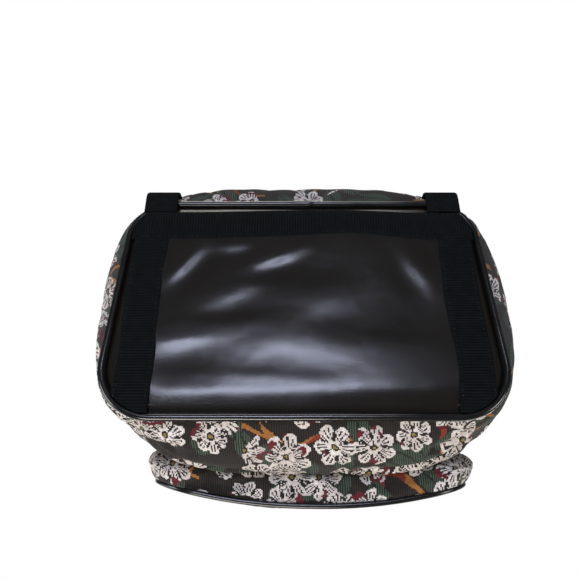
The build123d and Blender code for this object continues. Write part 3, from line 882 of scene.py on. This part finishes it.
# %% [markdown]
# ## Stuffed body
# The body is a lofted shell: an oblong with round corners that widens over the base and narrows to
# the crown. Stations give its outline at any height. They are a little slimmer than the CAD model's,
# because the swelling further on adds the rest. Near the base the outline changes into the piping's,
# so that the cloth comes out from under it all round.

# %% Outline of the body at any height
base_top, body_height, crown = 3.4, 392.0, 395.4
seam_x = 114.0
zip_y, zip_half = 2.67, 6.0
half_base_width, half_base_depth = 141, 89
# share of the height, half width, reach to the front and to the back, how square
stations = np.array(
    [
        (0.00, 0.985, 0.975, 0.975, 6.5),
        (0.03, 1.045, 1.140, 1.240, 4.2),
        (0.11, 1.070, 1.265, 1.310, 3.0),
        (0.32, 1.060, 1.060, 1.240, 3.0),
        (0.60, 1.015, 0.760, 1.100, 3.2),
        (0.83, 0.950, 0.650, 0.880, 3.4),
        (0.95, 0.900, 0.510, 0.640, 3.8),
        (1.00, 0.860, 0.300, 0.360, 4.5),
    ]
)
ring_turn = np.linspace(0, 2 * math.pi, 1441)
edge_reach = reach_of_edge(ring_turn)
edge_ring = np.column_stack([edge_reach * np.sin(ring_turn), -edge_reach * np.cos(ring_turn)])


def slump(height):
    """How far the cloth has slid to -X at a height: nothing at the base and at the crown."""
    height = np.asarray(height, float)
    return 3.5 * smooth_step((height - 6) / 40) * (1 - smooth_step((height - 120) / 200))


def body_ring(height):
    """The body's outline at one height, from the middle of the front, by +X, all the way round."""
    share = np.clip((height - base_top) / body_height, 0, 1)
    wide, front, back, power = (
        smooth_between(stations[:, 0], stations[:, k], share) for k in (1, 2, 3, 4)
    )
    a, b = half_base_width * wide, half_base_depth * (front + back) / 2
    middle = half_base_depth * (back - front) / 2
    reach = (abs(np.sin(ring_turn) / a) ** power + abs(np.cos(ring_turn) / b) ** power) ** (-1 / power)
    form = np.column_stack([reach * np.sin(ring_turn), middle - reach * np.cos(ring_turn)])
    return edge_ring + (form - edge_ring) * smooth_step((height - piping_level) / 12.5)


def ring_span(ring, first, last, columns):
    """Points of an outline between two turns, evenly spaced."""
    turns = np.linspace(first, last, 500)
    line = np.column_stack([np.interp(turns, ring_turn, ring[:, k], period=2 * math.pi) for k in (0, 1)])
    along = np.concatenate([[0], np.cumsum(np.linalg.norm(np.diff(line, axis=0), axis=1))])
    places = np.linspace(0, along[-1], columns)
    return np.column_stack([np.interp(places, along, line[:, k]) for k in (0, 1)])


def turn_at(ring, x, behind):
    """Where the right half of an outline crosses a distance from the middle, in front or behind."""
    quarter = len(ring_turn) // 4
    piece = slice(quarter, 2 * quarter + 1) if behind else slice(0, quarter + 1)
    xs, turns = ring[piece, 0], ring_turn[piece]
    return float(np.interp(x, xs[::-1], turns[::-1]) if behind else np.interp(x, xs, turns))


print("body at 130 mm:", body_ring(130.0).min(axis=0).round(1), body_ring(130.0).max(axis=0).round(1))

# %% [markdown]
# ## Cloth simulation
# A stuffed panel swells between its seams and puckers along them. Blender's Cloth does just that: the
# seams are pinned, a little pressure pushes the panel out, and the cloth is cut a few percent larger
# than the form, so the spare length gathers into folds. A cap keeps every point near the form.


# %% Puffing
def puff(piece, pins, pressure, cap, spare=0.0, bending=0.4, frames=20):
    """Swells a piece with the Cloth modifier. Pins is a share for each vertex: 1 stays where it is."""
    start = places_of(piece)
    group = piece.vertex_groups.new(name="seams")
    for index, weight in enumerate(pins):
        if weight > 0:
            group.add([index], float(weight), "REPLACE")
    pick(piece)
    cloth = piece.modifiers.new("swell", "CLOTH")
    settings = cloth.settings
    settings.quality = 6
    settings.mass = 0.3
    settings.tension_stiffness = 20
    settings.compression_stiffness = 20
    settings.shear_stiffness = 8
    settings.bending_stiffness = bending
    settings.air_damping = 2
    settings.use_pressure = True
    settings.uniform_pressure_force = pressure
    settings.shrink_min = -spare
    settings.vertex_group_mass = "seams"
    settings.effector_weights.gravity = 0
    cloth.collision_settings.use_collision = False
    cloth.collision_settings.use_self_collision = False
    for step in range(1, frames + 1):
        bpy.context.scene.frame_set(step)
    bpy.ops.object.modifier_apply(modifier=cloth.name)
    bpy.context.scene.frame_set(1)
    move = places_of(piece) - start
    length = np.linalg.norm(move, axis=1)
    kept = np.where(length > cap, cap / np.maximum(length, 1e-9), 1.0)
    place(piece, start + move * kept[:, None])
    piece.vertex_groups.clear()
    print(piece.name, "swelled by", round(float(np.minimum(length, cap).mean()), 2), "mm on average")


print("cloth swells in full")

# %% [markdown]
# ## Four body panels
# Front and back panels run from the piping over the crown to the zip, and a gusset closes each side.
# Each is a grid from seam to seam. Folds that the pocket and the filling press into the lower front
# are drawn before the swelling, as lines with a depth.


# %% Unevenness and folds
def unevenness(x, y, z, size, seed):
    """A soft noise at these points: no stuffed cloth is quite even."""
    return np.array(
        [
            noise.noise(Vector((a / size, b / size + seed, c / size)))
            for a, b, c in zip(np.ravel(x), np.ravel(y), np.ravel(z))
        ]
    ).reshape(np.shape(x))


def distance_to_line(x, z, line):
    """Distance of points in the front view from a line of points."""
    nearest = np.full(np.shape(x), 1e9)
    for (x0, z0), (x1, z1) in zip(line, line[1:]):
        run, climb = x1 - x0, z1 - z0
        along = np.clip(((x - x0) * run + (z - z0) * climb) / (run**2 + climb**2), 0, 1)
        nearest = np.minimum(nearest, np.hypot(x - x0 - along * run, z - z0 - along * climb))
    return nearest


# line in the front view, depth, width
front_folds = [
    ([(-40, 45), (-80, 40), (-112, 33)], 4.0, 3.5),
    ([(-84, 27), (-113, 19)], 3.2, 3.5),
    ([(30, 46), (76, 41), (112, 34)], 3.2, 3.5),
    ([(88, 24), (113, 30)], 2.4, 3.5),
]
print(len(front_folds), "folds in the lower front")

# %% [markdown]
# The rows of a panel follow the body's outline from the piping upwards, closer together where the
# cloth turns. The last rows close over the crown to the zip.

# %% Rows of a panel
panel_heights = np.concatenate(
    [
        [piping_level - 1.5, piping_level + 1.0],
        np.arange(7.5, 60, 2.2),
        np.arange(60, 372, 3.6),
        np.arange(372, 396, 2.6),
    ]
)
cap_rows = 7


def panel_rows(node, columns):
    """Rows of points of one panel, from seam to seam."""
    rows = []
    for height in panel_heights:
        ring = body_ring(height)
        seam_front, seam_back = turn_at(ring, seam_x, False), turn_at(ring, seam_x, True)
        first, last = {
            "front_panel": (-seam_front, seam_front),
            "side_gusset_right": (seam_front, seam_back),
            "back_panel": (seam_back, 2 * math.pi - seam_back),
            "side_gusset_left": (2 * math.pi - seam_back, 2 * math.pi - seam_front),
        }[node]
        line = ring_span(ring, first, last, columns)
        rows.append(np.column_stack([line[:, 0] - slump(height), line[:, 1], np.full(columns, height)]))
    top = rows[-1]
    ends = np.linspace(zip_y - zip_half, zip_y + zip_half, columns)
    target = {
        "front_panel": np.column_stack([top[:, 0], np.full(columns, zip_y - zip_half)]),
        "side_gusset_right": np.column_stack([np.full(columns, seam_x), ends]),
        "back_panel": np.column_stack([top[:, 0], np.full(columns, zip_y + zip_half)]),
        "side_gusset_left": np.column_stack([np.full(columns, -seam_x), ends[::-1]]),
    }[node]
    for step in range(1, cap_rows + 1):
        share = step / cap_rows
        line = top[:, :2] + (target - top[:, :2]) * share
        rows.append(np.column_stack([line, np.full(columns, top[0, 2] + (crown - top[0, 2]) * share)]))
    return np.array(rows)


def steps_from_seam(rows, columns):
    """How many grid steps each point of a panel is from its nearest seam."""
    up, across = np.arange(rows), np.arange(columns)
    return np.minimum(
        np.minimum(up, rows - 1 - up)[:, None], np.minimum(across, columns - 1 - across)[None, :]
    )


print(len(panel_heights) + cap_rows, "rows in a panel")

# %% [markdown]
# Before it swells, each panel is pushed in and out a little, and the front gets its folds. The seams
# are pinned. The front is held behind the pocket too, and the back lies flat under the yoke.

# %% Push and pins


def panel_push(node, x, y, z):
    """How far each point is pushed out of the panel's form."""
    push = 1.1 * unevenness(x, y, z, 46, 3) + 0.5 * unevenness(x, y, z, 17, 9)
    if node == "front_panel":
        for line, depth, wide in front_folds:
            away = distance_to_line(x, z, line)
            valley = depth * np.exp(-((away / wide) ** 2))
            push -= valley - 0.35 * depth * np.exp(-(((away - 9) / 5) ** 2))
    if node == "back_panel":
        push *= 1 - smooth_step((z - 315) / 15) * (1 - smooth_step((abs(x) - 104) / 8))
    return push


def panel_pins(node, x, z, from_seam):
    """How firmly each point is held while the panel swells."""
    pins = np.where(from_seam == 0, 1.0, np.where(from_seam == 1, 0.4, 0.0))
    if node == "front_panel":
        behind_pocket = (abs(x) < 104) & (z > 56) & (z < 212)
        pins = np.where(behind_pocket, np.maximum(pins, 0.6), pins)
    if node == "back_panel":
        under_yoke = (abs(x) < 108) & (z > 328) & (z < 378)
        pins = np.where(under_yoke, np.maximum(pins, 0.97), pins)
    return pins


print("panels are pushed and pinned by node")

# %% [markdown]
# Each panel is cut from another part of the bolt, so that the flowers don't repeat. It is laid, swelled
# and given the thickness of its cloth.

# %% Panels
cloth_thickness, panel_pressure, panel_cap = 1.8, 3.0, 6.5
for name, node, columns, cut in (
    ("front_cloth", "front_panel", 96, (2080, 1660)),
    ("right_gusset_cloth", "side_gusset_right", 56, (1180, 40)),
    ("back_cloth", "back_panel", 96, (1730, 560)),
    ("left_gusset_cloth", "side_gusset_left", 56, (2310, 330)),
):
    form = panel_rows(node, columns)
    x, y, z = form[..., 0], form[..., 1], form[..., 2]
    out = np.cross(np.gradient(form, axis=1), np.gradient(form, axis=0))
    out /= np.maximum(np.linalg.norm(out, axis=2), 1e-9)[..., None]
    from_seam = steps_from_seam(*form.shape[:2])
    push = panel_push(node, x, y, z) * smooth_step(from_seam / 4.0)
    panel = grid_piece(name, form + out * push[..., None], flat_measures(form), cut_at=cut)
    pins = panel_pins(node, x, z, from_seam)
    puff(panel, pins.ravel(), panel_pressure, panel_cap, spare=0.02, bending=0.6)
    refine(panel, "SOLIDIFY", thickness=cloth_thickness * mm, offset=-1.0)
    finish_piece(panel, tapestry, "tapestry_cloth", node)

# %% [markdown]
# ## Front pocket
# The pocket is a bowed face held off the front by a gusset, with piping round the face. Its bottom is
# the part one sees from below: a strip of cloth between the front panel and the piping, which bulges
# between its two seams.


# %% Form of the pocket
pocket_bow, pocket_reach, pocket_foot = 360.0, 136.0, 50.0
pocket_lean = math.radians(13.5)


def pocket_front(x, z):
    """How far out the pocket's face is there: bowed from side to side and leaning back."""
    axis = pocket_bow / math.cos(pocket_lean) - pocket_reach
    bow = np.sqrt(pocket_bow**2 - np.asarray(x, float) ** 2)
    climb = (np.asarray(z, float) - pocket_foot) * math.sin(pocket_lean)
    return axis + (climb - bow) / math.cos(pocket_lean)


def slumped(points):
    """Pocket points moved as the filled pocket hangs: a little wider and lower down, slid to -X."""
    x, y, z = (points[..., k] for k in range(3))
    low = 1 - smooth_step((z - 70) / 130)
    moved_x = x * (1 + 0.030 * low) - slump(z) - 1.5 * low
    moved_y = y - 2.5 * low * np.clip(-x / 110, 0, 1)
    return np.stack([moved_x, moved_y, z], axis=-1)


def body_front(x, height):
    """How far out the body's front is there."""
    ring = body_ring(float(height))
    quarter = len(ring_turn) // 4
    return float(np.interp(abs(x), ring[: quarter + 1, 0], ring[: quarter + 1, 1]))


def inset(outline, amount):
    """The outline drawn in by an amount."""
    ahead = np.gradient(outline, axis=0)
    ahead[0] = ahead[-1] = outline[1] - outline[-2]
    ahead /= np.linalg.norm(ahead, axis=1)[:, None]
    return outline + amount * np.column_stack([-ahead[:, 1], ahead[:, 0]])


print("pocket face at its foot and top:", pocket_front(0, 50).round(1), pocket_front(0, 218).round(1))

# %% [markdown]
# The face only bulges above its lower third, so that it never shows below the piping from underneath.

# %% Pocket face and piping
face_points, face_rim = filled(inset(pocket_edge, 1.6), 84, 64)
face_x, face_z = face_points[..., 0], face_points[..., 1]
bulges = smooth_step((face_z - 96) / 80)
crowned = 3.0 * smooth_step(face_rim / 60) * bulges
uneven = 0.8 * unevenness(face_x, face_x * 0, face_z, 40, 5)
uneven = uneven * smooth_step(face_rim / 12) * bulges
face_y = pocket_front(face_x, face_z) + 0.6 - crowned - uneven
face_shape = slumped(np.dstack([face_x, face_y, face_z]))
pocket_face = grid_piece("pocket_face_cloth", face_shape, cut_at=(2900, 470))
face_pins = np.where(face_rim < 0.1, 1.0, np.where(face_rim < 4, 0.3, 0.0))
face_pins = np.maximum(face_pins, 1 - bulges)
puff(pocket_face, face_pins.ravel(), 3.0, 4.0, 0.015)
refine(pocket_face, "SOLIDIFY", thickness=cloth_thickness * mm, offset=-1.0)
finish_piece(pocket_face, tapestry, "tapestry_cloth", "pocket_face")

piping_line = inset(pocket_edge, 0.3)
piping_y = pocket_front(piping_line[:, 0], piping_line[:, 1]) + 0.4
pocket_path = np.column_stack([piping_line[:, 0], piping_y, piping_line[:, 1]])
pocket_cord = tube("pocket_piping_cord", slumped(pocket_path), 2.0, (0, -1, 0), True)
edit(pocket_cord, (bpy.ops.mesh.normals_make_consistent, {"inside": False}))
finish_piece(pocket_cord, vinyl, "vinyl_piping", "pocket_piping")

# %% [markdown]
# The gusset follows the sides and the bottom, the top strip follows the top and has the zip let into
# it. Both run from the front panel to the piping, row by row.

# %% Walls of the pocket
pocket_top = 218.0
top_middle = int(np.argmin(abs(pocket_edge[:-1, 0]) + abs(pocket_edge[:-1, 1] - pocket_top)))
unrolled = np.roll(pocket_edge[:-1], -top_middle, axis=0)
low_part = unrolled[unrolled[:, 1] <= 200.5]
high_part = np.roll(unrolled, len(unrolled) // 2, axis=0)
high_part = high_part[high_part[:, 1] >= 199.5]
low_run = even(low_part, 2.0)
high_run = even(high_part, 2.0)


def wall_rows(run, shares, edges, swell):
    """Rows of a pocket wall between two depths, swelled outwards from the pocket's middle."""
    ahead = np.gradient(run, axis=0)
    ahead /= np.linalg.norm(ahead, axis=1)[:, None]
    out = np.column_stack([ahead[:, 1], -ahead[:, 0]])
    rows = []
    for share in shares:
        depth = edges[0] + (edges[1] - edges[0]) * share
        lift = swell * math.sin(math.pi * share**0.8)
        wave = 0.9 * unevenness(run[:, 0], depth, run[:, 1], 24, 4) * math.sin(math.pi * share)
        moved = run + out * (lift + wave)[:, None]
        rows.append(np.column_stack([moved[:, 0], depth, moved[:, 1]]))
    return np.array(rows)


print("gusset", len(low_run), "points long, top strip", len(high_run))

# %% [markdown]
# The gusset bulges most at the lower corners, where the filling sits.

# %% Pocket gusset
depth_shares = np.linspace(0, 1, 15)
low_back = np.array([body_front(x, z) for x, z in low_run]) + 1.0
low_front = pocket_front(low_run[:, 0], low_run[:, 1]) + 1.2
side_swell = 2.6 + 5.0 * smooth_step((abs(low_run[:, 0]) - 60) / 45)
gusset_rows = slumped(wall_rows(low_run, depth_shares, (low_back, low_front), side_swell))
pocket_gusset = grid_piece("pocket_gusset_cloth", gusset_rows, cut_at=(7150, 2570))
row_of = np.repeat(np.arange(len(depth_shares)), len(low_run))
seam_pins = np.where((row_of == 0) | (row_of == len(depth_shares) - 1), 1.0, 0.0)
puff(pocket_gusset, seam_pins, 2.5, 3.5, 0.03)
refine(pocket_gusset, "SOLIDIFY", thickness=cloth_thickness * mm, offset=-1.0)
finish_piece(pocket_gusset, tapestry, "tapestry_cloth", "pocket_gusset")

# %% [markdown]
# The top strip is two halves, one behind the zip and one before it, which meet past the zip's ends.

# %% Pocket top strip
pocket_zip_y = -81.67
high_back = np.array([body_front(x, z) for x, z in high_run]) + 1.0
high_front = pocket_front(high_run[:, 0], high_run[:, 1]) + 1.2
past_zip = smooth_step((abs(high_run[:, 0]) - 58) / 6)
middle_line = (high_back + high_front) / 2
behind_zip = (pocket_zip_y + zip_half) * (1 - past_zip) + middle_line * past_zip
before_zip = (pocket_zip_y - zip_half) * (1 - past_zip) + middle_line * past_zip
strip_parts = []
for name, edges in (
    ("strip_behind", (high_back, behind_zip)),
    ("strip_before", (before_zip, high_front)),
):
    strip_rows = slumped(wall_rows(high_run, np.linspace(0, 1, 7), edges, 0.6))
    strip_parts.append(grid_piece(name, strip_rows, cut_at=(3900, 700)))
pick(strip_parts[0])
strip_parts[1].select_set(True)
bpy.ops.object.join()
pocket_strip = strip_parts[0]
pocket_strip.name = "pocket_top_cloth"
refine(pocket_strip, "SOLIDIFY", thickness=1.6 * mm, offset=-1.0)
finish_piece(pocket_strip, tapestry, "tapestry_cloth", "pocket_top_strip")

# %% [markdown]
# ## Zips
# A coil zip has two woven tapes and a row of small interlocked turns. One tooth is modelled and copied
# along the tapes. The sliders and pulls are the CAD model's own nodes, which already have the right
# shape, so they only get a plated brass finish and softened edges.


# %% Zip teeth and tapes
def tooth_template():
    """One turn of the coil: a short bar with rounded ends."""
    bpy.ops.object.select_all(action="DESELECT")
    bpy.ops.mesh.primitive_cube_add(size=1)
    tooth = bpy.context.object
    place(tooth, places_of(tooth) * mm * np.array([1.15, 5.0, 1.5]))
    refine(tooth, "BEVEL", width=0.4 * mm, segments=2)
    return tooth


# distance from the middle of the zip, height over the crown of the tape
tape_section = ((0.25, 0.5), (2.0, 0.2), (5.0, -0.6), (8.0, -1.2))
tape_thickness, tape_points, tooth_pitch, tooth_level = 0.7, 60, 1.6, 2.3
for zip_name, length, setting, top in (
    ("main", 228, zip_y, crown),
    ("pocket", 116, pocket_zip_y, pocket_top),
):
    for tape_name, direction in (("front", -1), ("back", 1)):
        line = np.linspace(-length / 2 - 2, length / 2 + 2, tape_points)
        rows = [
            np.column_stack(
                [line, np.full(tape_points, setting + direction * d), np.full(tape_points, top - 0.2 + h)]
            )
            for d, h in tape_section
        ]
        tape = grid_piece(f"{zip_name}_tape_{tape_name}", np.array(rows[::direction]))
        edit(tape, (bpy.ops.mesh.normals_make_consistent, {"inside": False}))
        refine(tape, "SOLIDIFY", thickness=tape_thickness * mm, offset=0.0)
        finish_piece(tape, woven["polyester_zip_tape"], "zip_tape", f"{zip_name}_zip_tape_{tape_name}")
    places = np.arange(-length / 2 + 4, length / 2 - 3.5, tooth_pitch)
    teeth = [((x, setting, top + tooth_level), np.eye(3)) for x in places]
    repeated(
        f"{zip_name}_zip_teeth",
        tooth_template(),
        teeth,
        hard["nylon_zip_teeth"],
        "zip_chain",
        f"{zip_name}_zip_chain",
    )

# %% [markdown]
# ## Shoulder pads
# Each pad is foam in a cloth cover. A copy of the CAD pad is remeshed evenly and swelled with the
# Cloth modifier, as foam pushes its cover out, and smoothed with one subdivision.

# %% Padded shoulder straps
for side_name in ("left", "right"):
    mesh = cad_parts[f"shoulder_pad_{side_name}"].data.copy()
    pad = bpy.data.objects.new(f"padded_strap_{side_name}", mesh)
    bpy.context.scene.collection.objects.link(pad)
    edit(pad, (bpy.ops.mesh.remove_doubles, {"threshold": merge_distance}))
    refine(pad, "REMESH", mode="VOXEL", voxel_size=4.0 * mm)
    refine(pad, "SMOOTH", factor=0.5, iterations=4)
    puff(pad, np.zeros(len(pad.data.vertices)), 4.0, 3.0)
    refine(pad, "SUBSURF", levels=1, render_levels=1)
    draw_on_map(pad, pad.data.uv_layers.new(name="cloth"), places_of(pad)[:, [0, 2]])
    finish_piece(pad, woven["nylon_pad_cloth"], "pad_cloth", f"shoulder_pad_{side_name}")

# %% [markdown]
# ## Yoke and grab handle
# The ends of the pads are sewn to a leather patch on the upper back, with a row of stitches along its
# two long edges. The grab handle is a doubled piece of the same webbing, sewn in under the crown.

# %% Yoke and handle
yoke_low, yoke_high, yoke_half, yoke_columns, yoke_lift = 336, 370, 102.0, 90, 4.2
yoke_rows = []
for height in np.linspace(yoke_low, yoke_high, 14):
    ring = body_ring(height)
    first = turn_at(ring, yoke_half, True)
    line = ring_span(ring, first, 2 * math.pi - first, yoke_columns)
    middle = np.array([0.0, line[:, 1].mean() - 40])
    away = line - middle
    away /= np.linalg.norm(away, axis=1)[:, None]
    yoke_rows.append(np.column_stack([line + away * yoke_lift, np.full(yoke_columns, height)]))
yoke = grid_piece("leather_yoke", np.array(yoke_rows))
refine(yoke, "SOLIDIFY", thickness=2.0 * mm, offset=-1.0)
refine(yoke, "BEVEL", width=0.6 * mm, segments=2, limit_method="ANGLE")
finish_piece(yoke, leather, "base_leather", "strap_yoke")
yoke_seams = [yoke_rows[k] + np.array([0, 0.3, 0]) for k in (1, -2)]
stitches("yoke_stitches", yoke_seams, (0, 1, 0))

handle_half, handle_y, handle_foot, handle_top = 46, 45.0, crown - 12, crown + 40
handle_route = rounded(
    [
        (-handle_half, handle_foot),
        (-handle_half, handle_top),
        (handle_half, handle_top),
        (handle_half, handle_foot),
    ],
    (0, 16, 16, 0),
    0.3,
    closed=False,
)
handle_path = np.insert(handle_route, 1, handle_y, axis=1)
handle = webbing_strip("handle_webbing", handle_path, (0, 1, 0), thickness=2 * webbing_thickness)
finish_piece(handle, webbing, "webbing", "grab_handle")

# %% [markdown]
# ## Hard pieces that stay
# Sliders, pulls, stops, adjusters and the board keep their CAD shape. Their materials are swapped, and a
# small live bevel breaks the sharp edges.

# %% Finishes on CAD nodes
kept_nodes = {
    f"{zip_name}_zip_{part}": "aged_brass"
    for zip_name in ("main", "pocket")
    for part in ("slider", "pull", "stops")
}
kept_nodes |= {f"strap_adjuster_{side_name}": "acetal_moulding" for side_name in ("left", "right")}
kept_nodes["base_board"] = "fibre_board"
for node, material in kept_nodes.items():
    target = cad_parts[node]
    target.data.materials.clear()
    target.data.materials.append(hard[material])
    weld = target.modifiers.new("weld", "WELD")
    weld.merge_threshold = merge_distance
    bevel = target.modifiers.new("soft_edges", "BEVEL")
    bevel.width = 0.25 * mm
    bevel.segments = 2
    bevel.limit_method = "ANGLE"
print("finished CAD nodes:", len(kept_nodes))

# %% [markdown]
# ## Stage, light and camera
# The photograph looks at the underside of the bag, so the camera is under the floor, as under a glass
# table in a studio. The floor is a real pale floor from above. Seen from below it is clear, so the one
# scene serves both the picture from below and every view from above.

# %% Floor
bpy.ops.object.select_all(action="DESELECT")
floor_size = 40.0
bpy.ops.mesh.primitive_plane_add(size=floor_size, location=(0, 0, 0))
floor = bpy.context.object
floor.name = "studio_floor"
floor_paint, t, output = new_material("pale_studio_floor")
below = put(t, "NewGeometry").outputs["Backfacing"]
floor_place = put(t, "TexCoord").outputs["Object"]
floor_noise = put(t, "TexNoise", {"Vector": floor_place, "Scale": 3.0, "Detail": 2})
floor_colour = put(
    t,
    "Mix",
    {0: floor_noise.outputs[0], 6: hex_colour("#E9E7E3"), 7: hex_colour("#F1F0ED")},
    data_type="RGBA",
)
floor_shader = put(t, "BsdfDiffuse", {"Color": floor_colour.outputs[2]})
clear = put(t, "BsdfTransparent")
floor_mix = put(t, "MixShader", {0: below, 1: floor_shader, 2: clear})
t.links.new(floor_mix.outputs[0], output.inputs["Surface"])
floor.data.materials.append(floor_paint)
floor.visible_diffuse = False
floor.visible_glossy = False
floor.visible_transmission = False
floor.visible_shadow = False
print(floor.name, floor_size, "m wide")

# %% [markdown]
# Soft boxes under the floor light the base and the lower cloth. The narrow one straight below makes
# the broad lights on the leather. Three soft boxes and one even light from overhead serve the views
# from above.

# %% Light
world = bpy.data.worlds.new("pale_studio")
bpy.context.scene.world = world
world.use_nodes = True
t = world.node_tree
t.nodes.clear()
seen = put(t, "LightPath").outputs["Is Camera Ray"]
ambient = put(t, "Background", {"Color": hex_colour("#F4F6FA"), "Strength": 0.13})
backdrop = put(t, "Background", {"Color": hex_colour("#FFFFFF"), "Strength": 1.0})
world_mix = put(t, "MixShader", {0: seen, 1: ambient, 2: backdrop})
put(t, "OutputWorld", {0: world_mix})

# name, place, where it points, width, height, watts, colour
lights = (
    ("under_softbox", (0.12, 0.19, -1.25), (0, 0, 0), 0.66, 0.24, 9.8, "#DDE4FF"),
    ("under_right", (-1.2, -0.45, -0.4), (0, 0, 0.03), 0.5, 0.5, 6, "#FFFFFF"),
    ("under_left", (1.25, -0.25, -0.3), (0, 0, 0.03), 0.5, 0.5, 6, "#FFFFFF"),
    ("under_back", (0.1, 1.3, -0.25), (0, 0.1, 0.03), 0.8, 0.4, 5.5, "#FFF8F0"),
    ("under_front", (0.3, -1.3, -0.35), (0, -0.1, 0.05), 0.8, 0.5, 17, "#FFF8F0"),
    ("key", (-1.3, -1.7, 1.6), (0, 0, 0.2), 1.2, 1.2, 12, "#FFFAF2"),
    ("fill", (1.8, -0.8, 0.9), (0, 0, 0.2), 1.2, 1.2, 8, "#F2F6FF"),
    ("back", (0.4, 1.9, 1.2), (0, 0, 0.2), 1.2, 1.2, 11, "#FFFFFF"),
)
for name, spot, target, wide, tall, power, colour in lights:
    lamp = bpy.data.lights.new(name, "AREA")
    lamp.shape = "RECTANGLE"
    lamp.size, lamp.size_y, lamp.energy = wide, tall, power
    lamp.color = hex_colour(colour)[:3]
    holder = bpy.data.objects.new(name, lamp)
    holder.location = spot
    holder.rotation_euler = (Vector(target) - Vector(spot)).to_track_quat("-Z", "Y").to_euler()
    bpy.context.scene.collection.objects.link(holder)
overhead = bpy.data.lights.new("overhead", "SUN")
overhead.energy, overhead.angle = 2.0, math.radians(80)
holder = bpy.data.objects.new("overhead", overhead)
holder.location = (0, 0, 3)
bpy.context.scene.collection.objects.link(holder)
print(len(lights) + 1, "lights")

# %% [markdown]
# The camera stands below and in front of the base, and looks up at it at the photograph's angle.

# %% Camera
camera_data = bpy.data.cameras.new("camera")
camera_data.lens = 38.6
camera_data.sensor_width = 36
camera = bpy.data.objects.new("camera", camera_data)
bpy.context.scene.collection.objects.link(camera)
camera.location = Vector((9.8, -227.6, -388.6)) * mm
forward = Vector((0, 0.515, 0.857)).normalized()
upward = Vector((0, 0.857, -0.515)).normalized()
rightward = forward.cross(upward)
camera.rotation_mode = "QUATERNION"
camera.rotation_quaternion = Matrix((rightward, upward, -forward)).transposed().to_quaternion()
camera_data.clip_start = 0.01
bpy.context.scene.camera = camera
bpy.context.scene.view_settings.view_transform = "Standard"
print("camera at", [round(c, 3) for c in camera.location])

# %% [markdown]
# ## Finish

# %% Finish
bpy.context.view_layer.update()
